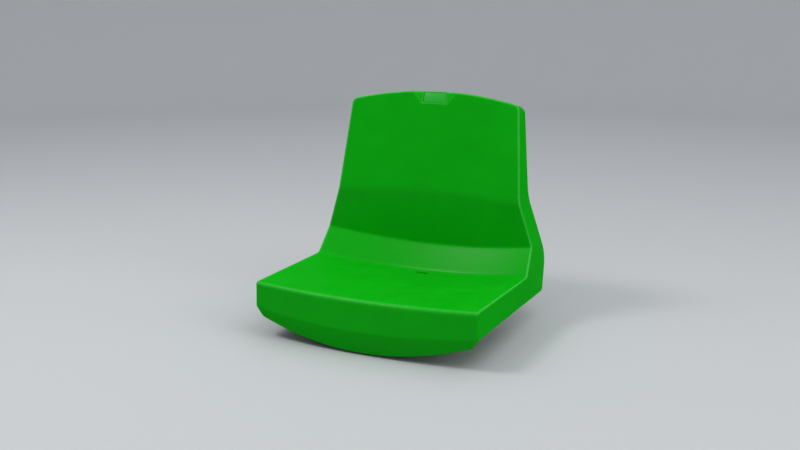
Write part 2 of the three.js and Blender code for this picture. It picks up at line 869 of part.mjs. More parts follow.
// Split lock washer: an open ring with its slit to the back.
function lockWasherMesh({ name, x, y }) {
  const bore = threadRadius + boreClearance;
  const halfSlit = lockWasherSlit / (2 * lockWasherRadius);
  const shape = new THREE.Shape();
  shape.absarc(0, 0, lockWasherRadius, halfSlit, 2 * Math.PI - halfSlit, false);
  shape.absarc(0, 0, bore, 2 * Math.PI - halfSlit, halfSlit, true);
  const geometry = plainExtrusion(shape, lockWasherThickness, turnSides);
  const mesh = namedMesh("lock_washer_" + name, geometry, zincPlated);
  mesh.position.set(x, y, lockWasherUnder);
  mesh.rotation.z = Math.PI / 2;
  return mesh;
}

// Outline of a folded strip: its centre line moved half a thickness to each side, bends rounded.
function foldedStrip(line, thickness, innerRadius) {
  const edge = (points, side) => {
    const directions = points.slice(1).map((point, index) => point.clone().sub(points[index]).normalize());
    return points.map((point, index) => {
      const before = directions[Math.max(index - 1, 0)];
      const after = directions[Math.min(index, directions.length - 1)];
      const normal = new THREE.Vector2(-before.y - after.y, before.x + after.x);
      const mitre = normal.divideScalar(1 + before.dot(after));
      const turn = Math.atan2(before.cross(after), before.dot(after));
      const radius = innerRadius + (turn * side < 0 ? thickness : 0);
      return {
        tip: point.clone().addScaledVector(mitre, (side * thickness) / 2),
        before,
        after,
        tangent: radius * Math.tan(Math.abs(turn) / 2),
      };
    });
  };
  const shape = new THREE.Shape();
  const trace = (corners) => {
    corners.forEach(({ tip, before, after, tangent }) => {
      const start = tip.clone().addScaledVector(before, -tangent);
      const end = tip.clone().addScaledVector(after, tangent);
      shape.lineTo(start.x, start.y);
      if (tangent > 0) {
        shape.quadraticCurveTo(tip.x, tip.y, end.x, end.y);
      }
    });
  };
  const upper = edge(line, 1);
  const lower = edge([...line].reverse(), 1);
  shape.moveTo(upper[0].tip.x, upper[0].tip.y);
  trace(upper.slice(1));
  trace(lower);
  return shape;
}

// Anchor slots lie half way along the flat of each flange.
const anchorPlaces = [
  (frontToeBack + frontHeelBack - bendRadius) / 2,
  (rearToeBack + rearHeelBack + bendRadius) / 2,
];

// Steel foot: bridge under two bosses, legs, and a slotted flange fore and aft.
function footMesh(side) {
  const halfStrip = stripThickness / 2;
  const floorLine = halfStrip - feetDepth;
  const line = [
    new THREE.Vector2(frontToeBack, floorLine),
    new THREE.Vector2(frontHeelBack, floorLine),
    new THREE.Vector2(bridgeFrontBack, stripTop - halfStrip),
    new THREE.Vector2(bridgeRearBack, stripTop - halfStrip),
    new THREE.Vector2(rearHeelBack, floorLine),
    new THREE.Vector2(rearToeBack, floorLine),
  ];
  const folded = plainExtrusion(foldedStrip(line, stripThickness, bendRadius), stripWidth, roundSteps);
  folded.translate(0, 0, -stripWidth / 2);
  folded.rotateX(Math.PI / 2);
  folded.rotateZ(Math.PI / 2);
  let solid = solidFrom(folded);
  const across = roundedRectangle(stripWidth, rearToeBack - frontToeBack, toeCornerRadius);
  const rounded = plainExtrusion(across, feetDepth + overrun, roundSteps);
  rounded.translate(0, (rearToeBack + frontToeBack) / 2, -feetDepth - overrun / 2);
  solid = solid.intersect(solidFrom(rounded));
  bossPlaces.filter(({ x }) => x > 0).forEach(({ y }) => {
    const hole = new THREE.CylinderGeometry(
      threadRadius + boreClearance,
      threadRadius + boreClearance,
      2 * (stripThickness + overrun),
      turnSides,
    );
    hole.rotateX(Math.PI / 2);
    hole.translate(0, y, stripTop);
    solid = solid.subtract(solidFrom(hole));
  });
  anchorPlaces.forEach((back) => {
    const slot = roundedRectangle(anchorSlotLength, anchorSlotWidth, anchorSlotWidth / 2);
    const cutter = plainExtrusion(slot, stripThickness + 2 * overrun, roundSteps);
    cutter.translate(0, back, -feetDepth - overrun);
    solid = solid.subtract(solidFrom(cutter));
  });
  const mesh = namedMesh(side < 0 ? "foot_left" : "foot_right", geometryFrom(solid), galvanised);
  mesh.position.x = (side * bossSpacingX) / 2;
  return mesh;
}

const seat = new THREE.Group();
seat.name = "stadium_seat";
seat.add(shellMesh());
seat.add(plateMesh());
seat.add(footMesh(-1));
seat.add(footMesh(1));
bossPlaces.forEach((place) => {
  seat.add(insertMesh(place));
  seat.add(boltMesh(place));
  seat.add(washerMesh(place));
  seat.add(lockWasherMesh(place));
});

// The origin is under the middle of the seat, on the floor that its feet stand on.
const bounds = new THREE.Box3().setFromObject(seat);
seat.position.set(0, -(bounds.min.y + bounds.max.y) / 2, feetDepth);

export default seat;
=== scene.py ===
"""Stadium seat: a one-piece moulded shell with a wrap-round skirt, bolted to two folded steel feet.

Lengths are in metres, +Z is up, +Y runs towards the back of the seat and +X to the right as seen
from the front. Every surface is worked out as whole arrays from the sizes held by its class.
"""
import functools
import logging
import math
from dataclasses import dataclass, field
from enum import Enum, IntEnum

import bpy
import numpy as np
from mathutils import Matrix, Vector


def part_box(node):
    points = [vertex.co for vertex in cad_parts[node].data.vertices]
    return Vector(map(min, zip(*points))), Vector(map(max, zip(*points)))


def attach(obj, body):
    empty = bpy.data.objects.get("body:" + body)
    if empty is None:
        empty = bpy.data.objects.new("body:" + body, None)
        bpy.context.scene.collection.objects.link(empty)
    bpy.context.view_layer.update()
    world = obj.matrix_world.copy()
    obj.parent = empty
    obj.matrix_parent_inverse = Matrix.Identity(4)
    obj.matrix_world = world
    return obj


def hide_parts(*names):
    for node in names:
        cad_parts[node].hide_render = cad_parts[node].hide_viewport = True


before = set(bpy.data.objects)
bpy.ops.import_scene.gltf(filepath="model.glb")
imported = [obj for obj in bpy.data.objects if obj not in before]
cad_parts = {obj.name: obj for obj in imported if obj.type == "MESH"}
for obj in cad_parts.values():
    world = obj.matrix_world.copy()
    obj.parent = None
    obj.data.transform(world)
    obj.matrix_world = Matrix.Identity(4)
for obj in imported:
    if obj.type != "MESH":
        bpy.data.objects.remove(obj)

Array = np.ndarray
Triple = tuple[float, float, float]
Material = bpy.types.Material
NodeTree = bpy.types.NodeTree
LOG = logging.getLogger("stadium_seat")
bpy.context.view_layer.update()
BODY = "root"
ACROSS = np.array([1.0, 0.0, 0.0])
TINY = 1e-9
# Name of the shell's point attribute that holds its painted highlight, which stands also for wear.
EDGE_HIGHLIGHT = "painted_edge_highlight"
SHARP_ANGLE = math.radians(32)


class Slot(Enum):
    """Material slots of the record."""

    SHELL = "shell_plastic"
    PLATE = "plate_plastic"
    GALVANISED = "galvanised_steel"
    ZINC = "zinc_plated_steel"
    BRASS = "insert_brass"


class Cut(Enum):
    """How one closed surface works on another."""

    JOIN = "UNION"
    REMOVE = "DIFFERENCE"


class Axis(IntEnum):
    """Axes of a point, by their column."""

    X = 0
    Y = 1
    Z = 2


class Stretch(IntEnum):
    """Stretches of a line over the face, in order, and the place where the last one ends."""

    PAN = 0
    JUNCTION = 1
    BAND = 2
    BAND_TOP = 3
    LOWER_BACK = 4
    CREASE = 5
    UPPER_BACK = 6
    END = 7


# Surfaces as arrays


@dataclass
class Surface:
    """Points and faces of a surface.

    Args:
        points: one row of x, y and z for each point.
        faces: arrays of point numbers, one array for each count of corners.
        wear_and_painted_light: how much painted highlight each point takes, from 0 to 1, where it is
            known; it stands also for wear.
    """

    points: Array
    faces: list[Array]
    wear_and_painted_light: Array | None = None

    def volume(self) -> float:
        """Adds a . (b x c) / 6 over all triangles.

        Returns:
            The volume, which is above zero if the faces point out.
        """
        total = 0.0
        for group in self.faces:
            corners = self.points[group]
            first = corners[:, :1]
            cross = np.cross(corners[:, 1:-1], corners[:, 2:])
            total += float((first * cross).sum()) / 6
        return total

    def outward(self) -> "Surface":
        """Turns the faces to point out.

        Returns:
            The surface itself, or one with every face turned over.
        """
        if self.volume() >= 0:
            return self
        return Surface(self.points, [group[:, ::-1] for group in self.faces])

    def bend(self) -> Array:
        """Works out how sharply the surface turns outwards at each point.

        A point's normal n is the sum of a x b over its faces, for their diagonals a and b. From a
        point p to a neighbour q the turn is 2 n . (p - q) / |p - q|^2 where that is above zero. Two
        neighbours lie along the turn, each in two faces, so a quarter of the sum holds.

        Returns:
            One over the radius of the turn, for each point.
        """
        count = len(self.points)
        normals = np.zeros_like(self.points)
        for group in self.faces:
            corners = self.points[group]
            across = np.cross(corners[:, 2] - corners[:, 0], corners[:, -1] - corners[:, 1])
            for axis in Axis:
                weights = np.repeat(across[:, axis], group.shape[1])
                normals[:, axis] += np.bincount(group.ravel(), weights, count)
        normals /= np.maximum(np.linalg.norm(normals, axis=1), TINY)[:, None]
        result = np.zeros(count)
        for group in self.faces:
            start = group.ravel()
            for step in (1, -1):
                way = self.points[start] - self.points[np.roll(group, step, axis=1).ravel()]
                length = np.maximum((way**2).sum(axis=1), TINY)
                turn = 2 * (normals[start] * way).sum(axis=1) / length
                result += np.bincount(start, np.maximum(turn, 0), count)
        return result / 4

    def mirrored(self) -> "Surface":
        """The surface reflected in the plane x = 0, with its faces turned back out."""
        return Surface(self.points * (-1, 1, 1), [group[:, ::-1] for group in self.faces])

    def moved(self, place: Array) -> "Surface":
        """The surface moved by a vector."""
        return Surface(self.points + place, self.faces, self.wear_and_painted_light)

    def mesh(self, name: str) -> bpy.types.Mesh:
        """Makes a mesh of the surface.

        Args:
            name: name of the mesh.

        Returns:
            The mesh, with the painted highlight as an attribute of its points where it is known.
        """
        data = bpy.data.meshes.new(name)
        faces = [face for group in self.faces for face in group.tolist()]
        data.from_pydata(self.points.tolist(), [], faces)
        data.update()
        if self.wear_and_painted_light is not None:
            values = data.attributes.new(EDGE_HIGHLIGHT, "FLOAT", "POINT").data
            values.foreach_set("value", self.wear_and_painted_light.astype(np.float32))
        return data


def grid_faces(index: Array, wrap_rows: bool = False, wrap_columns: bool = False) -> Array:
    """Makes four-sided faces between the neighbours of a grid of point numbers.

    Args:
        index: grid of point numbers.
        wrap_rows: whether the last row joins the first.
        wrap_columns: whether the last column joins the first.

    Returns:
        One row of four point numbers for each face.
    """
    if wrap_rows:
        index = np.vstack([index, index[:1]])
    if wrap_columns:
        index = np.hstack([index, index[:, :1]])
    corners = [index[:-1, :-1], index[:-1, 1:], index[1:, 1:], index[1:, :-1]]
    return np.stack(corners, axis=-1).reshape(-1, 4)


def ring_index(rings: Array) -> Array:
    """Numbers of the points of a stack of rings, one row for each ring."""
    return np.arange(rings.shape[0] * rings.shape[1]).reshape(rings.shape[:2])


def stacked_rings(rings: Array) -> Surface:
    """Makes a closed surface through a stack of rings, with a flat face over either end.

    Args:
        rings: rings, points and coordinates on three axes.

    Returns:
        The surface, with its faces pointing out.
    """
    index = ring_index(rings)
    caps = np.stack([index[0, ::-1], index[-1]])
    return Surface(rings.reshape(-1, 3), [grid_faces(index, wrap_columns=True), caps]).outward()


def closed_tube(rings: Array) -> Surface:
    """Closed surface through rings whose last joins the first, such as a washer."""
    faces = grid_faces(ring_index(rings), wrap_rows=True, wrap_columns=True)
    return Surface(rings.reshape(-1, 3), [faces]).outward()


def even_steps(end: float, count: int) -> Array:
    """Even steps from zero to an end, without the zero."""
    return end * np.arange(1, count + 1) / count


def full_turn(sides: int) -> Array:
    """Even angles round a full turn, from zero."""
    return np.arange(sides) * 2 * math.pi / sides


def directions_at(angles: Array) -> Array:
    """Unit directions at an array of angles, as cosine and sine."""
    return np.stack([np.cos(angles), np.sin(angles)], axis=-1)


def raised(flat: Array, heights: Array) -> Array:
    """Flat rings given heights: a column holds one for each ring, a row one for each point."""
    return np.concatenate([flat, np.broadcast_to(heights, flat.shape[:2])[..., None]], axis=-1)


def rounded_outline(width: float, height: float, radius: float, steps: int) -> tuple[Array, Array]:
    """Draws a rounded rectangle, as its corner centres and the directions from them.

    The outline lies at centre + radius * direction, so an outline moved out by d is
    centre + (radius + d) * direction.

    Args:
        width: full width.
        height: full height.
        radius: corner radius.
        steps: steps round each corner.

    Returns:
        Centres and unit directions, each with one row of two numbers for each point.
    """
    quarter = np.linspace(0, math.pi / 2, steps + 1)
    angles = (np.arange(4)[:, None] * math.pi / 2 + quarter).ravel()
    signs = np.repeat([[1, 1], [-1, 1], [-1, -1], [1, -1]], steps + 1, axis=0)
    centres = signs * (width / 2 - radius, height / 2 - radius)
    return centres, directions_at(angles)


def levels_of(outline: tuple[Array, Array], radius: float, profile: Array) -> Array:
    """Draws an outline at each level of a profile.

    Args:
        outline: corner centres and directions, as rounded_outline gives them.
        radius: corner radius of the outline.
        profile: rows of how far the ring stands out from the outline, and its height.

    Returns:
        One ring for each row of the profile.
    """
    centres, directions = outline
    outwards = profile[:, 0][:, None, None]
    return raised(centres + (radius + outwards) * directions, profile[:, 1:])


def quarter_round(radius: float, steps: int, start: float, turn: float) -> Array:
    """Quarter circle about the origin from a starting angle, turning by 1 up or by -1 down."""
    angles = start + turn * np.linspace(0, math.pi / 2, steps + 1)
    return radius * directions_at(angles)


def revolved(profile: Array, sides: int) -> Array:
    """Rings of a profile of radius and height turned about +Z."""
    return raised(profile[:, 0][:, None, None] * directions_at(full_turn(sides)), profile[:, 1:])


def parabola(start: Array, control: Array, end: Array, share: Array) -> Array:
    """Points (1-s)^2 start + 2s(1-s) control + s^2 end."""
    return (1 - share) ** 2 * start + 2 * share * (1 - share) * control + share**2 * end


def moved_towards(start: Array, end: Array, length: float | Array) -> Array:
    """Moves points a length along the way to end points, and never past them.

    Args:
        start: points to move.
        end: points that they move towards.
        length: one length, or one for each point.

    Returns:
        The moved points.
    """
    way = end - start
    whole = np.linalg.norm(way, axis=-1)
    share = np.minimum(length / np.maximum(whole, TINY), 1)
    return start + way * share[..., None]


def new_object(name: str, data: bpy.types.ID) -> bpy.types.Object:
    """Makes an object and links it into the scene.

    Args:
        name: name of the object.
        data: its mesh, lamp or camera.

    Returns:
        The object.
    """
    made = bpy.data.objects.new(name, data)
    bpy.context.scene.collection.objects.link(made)
    return made


def combined(base: Surface, others: list[tuple[Cut, Surface]], name: str) -> bpy.types.Mesh:
    """Joins closed surfaces to another or cuts them out of it, in order.

    Args:
        base: the surface that is worked on.
        others: what is joined or cut, and how.
        name: name of the mesh.

    Returns:
        The finished mesh.
    """
    body = new_object(name, base.mesh(name))
    tools = []
    for number, (cut, surface) in enumerate(others):
        tool_name = f"{name}_tool_{number}"
        tool = new_object(tool_name, surface.mesh(tool_name))
        step = body.modifiers.new(f"step_{number}", "BOOLEAN")
        step.operation = cut.value
        step.solver = "MANIFOLD"
        step.object = tool
        tools.append(tool)
    view = bpy.context.evaluated_depsgraph_get()
    result = bpy.data.meshes.new_from_object(body.evaluated_get(view))
    for spent in [body, *tools]:
        data = spent.data
        bpy.data.objects.remove(spent)
        bpy.data.meshes.remove(data)
    return result


def place_piece(
    name: str,
    data: bpy.types.Mesh,
    node: str,
    material: Material,
) -> bpy.types.Object:
    """Puts a finished mesh into the scene for a node of the frame, smooth but for its sharp edges.

    Args:
        name: name of the piece.
        data: its mesh, in place.
        node: the node that it stands for.
        material: its material.

    Returns:
        The piece.
    """
    data.name = name
    data.materials.clear()
    data.materials.append(material)
    data.shade_smooth()
    data.set_sharp_from_angle(angle=SHARP_ANGLE)
    piece = new_object(name, data)
    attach(piece, BODY)
    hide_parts(node)
    LOG.info("%s: %d faces, stands for %s", name, len(data.polygons), node)
    return piece


# Sheets between a side line and a middle line


class RoundedLine:
    """Line through knots whose inner knots are rounded by parabolas.

    A place is the number of a stretch plus a share of it. Even stretches are straight and odd ones
    are roundings. Each is a parabola (1-s)^2 a + 2s(1-s) b + s^2 c, whose b lies half way between
    a and c on a straight stretch and on the knot in a rounding.
    """

    def __init__(self, knots: Array, rounds: Array) -> None:
        """Works out the stretches.

        Args:
            knots: one row of x, y and z for each knot.
            rounds: length that each knot's rounding takes from either leg.
        """
        self.knots = np.asarray(knots, dtype=float)
        self.rounds = np.asarray(rounds, dtype=float)
        along = np.diff(self.knots, axis=0)
        heading = along / np.linalg.norm(along, axis=1)[:, None]
        starts = self.knots[:-1] + heading * self.rounds[:-1, None]
        ends = self.knots[1:] - heading * self.rounds[1:, None]
        self.straights = np.linalg.norm(ends - starts, axis=1)
        self.stretches = np.empty((2 * len(along) - 1, 3, 3))
        self.stretches[0::2] = np.stack([starts, (starts + ends) / 2, ends], axis=1)
        self.stretches[1::2] = np.stack([ends[:-1], self.knots[1:-1], starts[1:]], axis=1)

    def at(self, place: Array) -> Array:
        """Finds points of the line.

        Args:
            place: array of places.

        Returns:
            A point for each place.
        """
        stretch = np.clip(np.floor(place).astype(int), 0, len(self.stretches) - 1)
        share = (place - stretch)[..., None]
        start, control, end = np.moveaxis(self.stretches[stretch], -2, 0)
        return parabola(start, control, end, share)

    def point(self, place: float) -> Array:
        """The point at one place."""
        return self.at(np.array([float(place)]))[0]

    def offset(self, depth: float, least_round: float) -> "RoundedLine":
        """Moves the line away from the sitter within the plane of its section, with mitred knots.

        Args:
            depth: how far it is moved.
            least_round: least length that a knot's rounding takes.

        Returns:
            The moved line.
        """
        along = np.diff(self.knots, axis=0)
        normals = np.column_stack([np.zeros(len(along)), along[:, 2], -along[:, 1]])
        normals /= np.linalg.norm(normals, axis=1)[:, None]
        before = np.vstack([normals[:1], normals])
        after = np.vstack([normals, normals[-1:]])
        cosine = (before * after).sum(axis=1)
        knots = self.knots + depth * (before + after) / (1 + cosine)[:, None]
        turn = np.arctan2(before[:, 2] * after[:, 1] - before[:, 1] * after[:, 2], cosine)
        rounds = np.maximum(self.rounds - depth * np.tan(turn / 2), least_round)
        rounds[[0, -1]] = self.rounds[[0, -1]]
        return RoundedLine(knots, rounds)


@dataclass
class Sheet:
    """Curved sheet between a side line and a middle line, with a parabola across each row.

    At a share a across, from -1 to 1, x = side.x * a, and y and z are
    side + (middle - side) * (1 - a^2).
    """

    side: RoundedLine
    middle: RoundedLine

    def offset(self, depth: float, least_round: float) -> "Sheet":
        """The sheet moved away from the sitter."""
        return Sheet(self.side.offset(depth, least_round), self.middle.offset(depth, least_round))

    def points(self, place: Array, across: Array) -> Array:
        """Finds points of the sheet.

        Args:
            place: array of places along the two lines.
            across: share across for each place.

        Returns:
            A point for each place.
        """
        side = self.side.at(place)
        middle = self.middle.at(place)
        rise = (1 - across**2)[..., None]
        result = side + (middle - side) * rise
        result[..., 0] = side[..., 0] * across
        return result


@dataclass(frozen=True)
class Inset:
    """How far a net stops short of the edges of its sheet."""

    side: float
    front: float
    top: float

    @classmethod
    def even(cls, depth: float) -> "Inset":
        """The same distance from every edge."""
        return cls(depth, depth, depth)


@dataclass
class SeatShell:
    """The one-piece moulding: sitting face, edge roundings, skirt, ribs, bosses and pocket."""

    # Sitting face: widths, then the side line, then how the middle line stands off it.
    front_width: float = 0.452
    junction_width: float = 0.467
    band_top_width: float = 0.458
    crease_width: float = 0.403
    top_width: float = 0.367
    pan_depth: float = 0.253
    pan_rear_drop: float = 0.003
    band_run: float = 0.042
    band_rise: float = 0.051
    lower_back_rise: float = 0.086
    lower_back_lean: float = 0.004
    upper_back_rise: float = 0.188
    upper_back_lean: float = 0.0355
    front_bow: float = 0.012
    front_dip: float = 0.0035
    junction_bow: float = 0.027
    junction_dip: float = 0.024
    band_top_bow: float = 0.022
    band_top_dip: float = 0.021
    crease_bow: float = 0.017
    crease_arch: float = 0.0075
    top_bow: float = 0.010
    top_arch: float = 0.0215
    junction_round: float = 0.009
    band_top_round: float = 0.003
    crease_round: float = 0.008

    # Wall, and the roundings along the edges of the face.
    wall: float = 0.004
    front_edge_round: float = 0.0075
    side_edge_round: float = 0.004
    top_edge_round: float = 0.004
    front_corner_radius: float = 0.005
    top_corner_radius: float = 0.010
    least_round: float = 0.0012

    # Skirt.
    skirt_draft: float = 0.0025
    skirt_front_depth: float = 0.0495
    skirt_front_setback: float = 0.0014
    skirt_rear_reach: float = 0.351
    skirt_rear_depth: float = 0.055
    skirt_hip_reach: float = 0.379
    skirt_hip_height: float = 0.017
    skirt_waist_reach: float = 0.3395
    skirt_waist_height: float = 0.141
    skirt_top_reach: float = 0.032
    skirt_top_fall: float = 0.0085
    skirt_rear_round: float = 0.009
    skirt_hip_round: float = 0.026
    skirt_waist_round: float = 0.022
    lip_round: float = 0.001

    # Front apron, with a crease that bows forward and an arc below.
    crease_forward: float = 0.016
    apron_crease_dip: float = 0.0145
    apron_half_width: float = 0.214
    apron_end_drop: float = 0.0695
    apron_end_setback: float = 0.005
    apron_forward: float = 0.008
    apron_arc_dip: float = 0.038
    apron_corner_out: float = 0.0065
    apron_corner_drop: float = 0.062
    apron_crease_round: float = 0.003

    # Ribs and bosses.
    rib_thickness: float = 0.003
    rib_depth: float = 0.014
    rib_embed: float = 0.003
    rib_edge_round: float = 0.0008
    outer_rib_spacing: float = 0.300
    front_rib_back: float = 0.052
    upper_rib_height: float = 0.232
    boss_radius: float = 0.012
    boss_top_radius: float = 0.0135
    boss_floor_depth: float = 0.046
    boss_spacing_x: float = 0.150
    boss_front_back: float = 0.128
    boss_spacing_y: float = 0.070
    insert_radius: float = 0.006
    insert_length: float = 0.016

    # Drain slot.
    slot_length: float = 0.030
    slot_width: float = 0.006
    slot_setback: float = 0.007

    # Number pocket, and the recess and holes for its plate.
    pad_width: float = 0.056
    pad_height: float = 0.027
    pad_depth: float = 0.007
    pad_flare: float = 0.020
    pad_crease: float = 0.0009
    pocket_fade_share: float = 0.5
    plate_width: float = 0.0494
    plate_height: float = 0.0214
    plate_corner_radius: float = 0.002
    recess_depth: float = 0.0025
    recess_rim_round: float = 0.0007
    peg_radius: float = 0.0015
    peg_spacing: float = 0.034

    # Where the shell stands over its feet, the gap at what touches, and how far cutters run on.
    feet_depth: float = 0.112
    front_toe_back: float = 0.070
    gap: float = 0.0003
    overrun: float = 0.005

    # Painted highlight, which stands also for wear: bends between which creases take it, and shares of
    # the full highlight; the pad takes an even painted sheen.
    highlight_start: float = 25.0
    highlight_full: float = 80.0
    highlight_at_face: float = 0.2
    highlight_at_front: float = 0.5
    highlight_lean: float = 0.8
    highlight_in_pocket: float = 0.4
    sheen_on_pad: float = 0.6

    # How finely the surfaces are divided.
    corner_steps: int = 8
    round_steps: int = 8
    rows_on_pan: int = 44
    rows_on_band: int = 11
    rows_on_lower_back: int = 15
    rows_on_upper_back: int = 30
    rows_by_pocket: int = 16
    columns_by_pocket: int = 30
    columns_beside: int = 34
    pocket_share: float = 0.30
    pocket_start_share: float = 0.83
    corner_start_share: float = 0.06
    corner_end_share: float = 0.94
    skirt_knee_share: float = 0.9
    wall_rows: int = 10
    lip_steps: int = 4
    rib_foot_steps: int = 3
    recess_corner_steps: int = 6
    turn_sides: int = 40
    pan_samples: int = 200
    halvings: int = 24

    face: Sheet = field(init=False)
    skirt: Sheet = field(init=False)
    place: Array = field(init=False)

    def __post_init__(self) -> None:
        """Sets up the place of the whole, the two sheets, the net that covers them and the pad."""
        foot_low = np.array(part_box("foot_left")[0])
        self.place = np.array([0, foot_low[1] - self.front_toe_back, foot_low[2] + self.feet_depth])
        self.face = self._face_sheet()
        self.skirt = self._skirt_sheet()
        self._lay_out_net()
        self._lay_out_pad()

    def _face_sheet(self) -> Sheet:
        """Lays out the sitting face: pan, sloping band, lower back and upper back.

        Returns:
            The sheet of the face.
        """
        band_top_y = self.pan_depth + self.band_run
        band_top_z = self.band_rise - self.pan_rear_drop
        crease_y = band_top_y - self.lower_back_lean
        self.crease_z = band_top_z + self.lower_back_rise
        self.top_y = crease_y + self.upper_back_lean
        self.top_z = self.crease_z + self.upper_back_rise
        ys = [0, self.pan_depth, band_top_y, crease_y, self.top_y]
        zs = [0, -self.pan_rear_drop, band_top_z, self.crease_z, self.top_z]
        rounds = [0, self.junction_round, self.band_top_round, self.crease_round, 0]
        return self._sheet(0, ys, zs, (self.front_bow, self.front_dip), rounds)

    def _skirt_sheet(self) -> Sheet:
        """Lays out the sheet in which the skirt's free edge and the apron's crease lie.

        Returns:
            The sheet of the skirt.
        """
        ys = [self.skirt_front_setback, self.skirt_rear_reach, self.skirt_hip_reach]
        ys += [self.skirt_waist_reach, self.top_y + self.skirt_top_reach]
        zs = [-self.skirt_front_depth, -self.skirt_rear_depth, self.skirt_hip_height]
        zs += [self.skirt_waist_height, self.top_z - self.skirt_top_fall]
        rounds = [0, self.skirt_rear_round, self.skirt_hip_round, self.skirt_waist_round, 0]
        return self._sheet(self.skirt_draft, ys, zs, (self.crease_forward, self.apron_crease_dip), rounds)

    def _sheet(
        self,
        draft: float,
        ys: list[float],
        zs: list[float],
        front: tuple[float, float],
        rounds: list[float],
    ) -> Sheet:
        """Lays out a sheet through knots at the front, junction, band's top, crease and top.

        Args:
            draft: how far the side line stands out from the face's.
            ys: how far back its knots lie.
            zs: how high its knots lie.
            front: how far forward of it and below it the middle line lies at the front.
            rounds: length that each knot's rounding takes from either leg.

        Returns:
            The sheet.
        """
        forward, down = front
        widths = [self.front_width, self.junction_width, self.band_top_width]
        widths += [self.crease_width, self.top_width]
        bows = [-forward, self.junction_bow, self.band_top_bow, self.crease_bow, self.top_bow]
        lifts = [-down, -self.junction_dip, -self.band_top_dip, self.crease_arch, self.top_arch]
        side = np.column_stack([np.array(widths) / 2 + draft, ys, zs])
        middle = np.column_stack([np.zeros(len(ys)), np.add(ys, bows), np.add(zs, lifts)])
        return Sheet(RoundedLine(side, rounds), RoundedLine(middle, rounds))

    def _lay_out_net(self) -> None:
        """Lays out rows and columns of the net that covers a sheet, and the order of its edge.

        Rows and columns in the rounded corners hold how far they lie towards the edge, up to 1, and
        all others hold 0.
        """
        steps = self.corner_steps
        corner = np.linspace(1, 0, steps + 1)
        curve = even_steps(1, self.round_steps)
        by_pocket = np.linspace(self.pocket_start_share, self.corner_end_share, self.rows_by_pocket)
        body = np.concatenate([
            np.linspace(self.corner_start_share, 1, self.rows_on_pan),
            Stretch.JUNCTION + curve,
            Stretch.BAND + even_steps(1, self.rows_on_band),
            Stretch.BAND_TOP + curve,
            Stretch.LOWER_BACK + even_steps(1, self.rows_on_lower_back),
            Stretch.CREASE + curve,
            Stretch.UPPER_BACK + even_steps(self.pocket_start_share, self.rows_on_upper_back),
            Stretch.UPPER_BACK + by_pocket[1:],
        ])
        zeros = np.zeros(steps + 1)
        plain = np.zeros(len(body))
        self.row_place = np.concatenate([zeros, body, zeros])
        self.towards_front = np.concatenate([corner, plain, zeros])
        self.towards_top = np.concatenate([zeros, plain, corner[::-1]])
        self.is_front = np.concatenate([zeros + 1, plain, zeros]) > 0
        self.is_top = np.concatenate([zeros, plain, zeros + 1]) > 0
        near = np.linspace(0, self.pocket_share, self.columns_by_pocket)
        far = np.linspace(self.pocket_share, 1, self.columns_beside)[1:]
        half = np.concatenate([near, far])
        inner = np.concatenate([-half[:0:-1], half])
        self.column_share = np.concatenate([np.full(steps, -1), inner, np.full(steps, 1)])
        self.outwards = np.concatenate([corner[:-1], np.zeros(len(inner)), corner[:-1][::-1]])
        rows = len(self.row_place)
        columns = len(self.column_share)
        self.net_index = np.arange(rows * columns).reshape(rows, columns)
        self.edge_row = np.concatenate([
            np.zeros(columns - 1, int),
            np.arange(rows - 1),
            np.full(columns - 1, rows - 1),
            np.arange(rows - 1, 0, -1),
        ])
        self.edge_column = np.concatenate([
            np.arange(columns - 1),
            np.full(rows - 1, columns - 1),
            np.arange(columns - 1, 0, -1),
            np.zeros(rows - 1, int),
        ])

    def _lay_out_pad(self) -> None:
        """Sets the pocket's foot and middle, the ways up and out of back and pad, and the top skirt's."""
        middle = self.face.middle
        top = middle.point(Stretch.END)
        foot = middle.point(Stretch.UPPER_BACK)
        self.back_up = (top - foot) / np.linalg.norm(top - foot)
        self.back_out = np.array([0, -self.back_up[2], self.back_up[1]])
        self.pad_foot = top - self.back_up * self.pad_height
        pad_head = top - self.back_out * self.pad_depth
        self.pad_up = (pad_head - self.pad_foot) / np.linalg.norm(pad_head - self.pad_foot)
        self.pad_out = np.array([0, -self.pad_up[2], self.pad_up[1]])
        self.pad_centre = (self.pad_foot + pad_head) / 2
        lip = self.skirt.middle.point(Stretch.END)
        self.skirt_way = (lip - top) / np.linalg.norm(lip - top)

    def net_places(self, sheet: Sheet, inset: Inset) -> tuple[Array, Array]:
        """Finds where the net's knots lie on a sheet.

        The net stops short of the sheet's edges by the insets. A square of net at each corner is
        pressed into a quarter disc: a knot at shares p and q of the square, counted towards the two
        edges, moves to p * sqrt(1 - q^2 / 2) and q * sqrt(1 - p^2 / 2).

        Args:
            sheet: the sheet.
            inset: how far the net stops short of its edges.

        Returns:
            Places and shares across, by row and column of the net.
        """
        rows, columns = self.net_index.shape
        end = np.maximum(self.towards_front, self.towards_top)[:, None]
        out = self.outwards[None, :]
        out_round = out * np.sqrt(1 - end**2 / 2)
        end_round = end * np.sqrt(1 - out**2 / 2)
        front_length = max(self.front_corner_radius - inset.front, self.least_round)
        top_length = max(self.top_corner_radius - inset.top, self.least_round)
        from_front = (inset.front + front_length * (1 - end_round)) / sheet.side.straights[0]
        from_top = (inset.top + top_length * (1 - end_round)) / sheet.side.straights[-1]
        place = np.broadcast_to(self.row_place[:, None], (rows, columns))
        place = np.where(self.is_front[:, None], from_front, place)
        place = np.where(self.is_top[:, None], Stretch.END - from_top, place)
        front_size = max(self.front_corner_radius - inset.side, self.least_round)
        top_size = max(self.top_corner_radius - inset.side, self.least_round)
        size = np.linspace(front_size, top_size, rows)[:, None]
        half_width = sheet.side.at(place)[..., 0]
        side = np.sign(self.column_share)[None, :]
        inner = (1 - (inset.side + size) / half_width) * self.column_share
        outer = side * (1 - (inset.side + size * (1 - out_round)) / half_width)
        return place, np.where(out > 0, outer, inner)

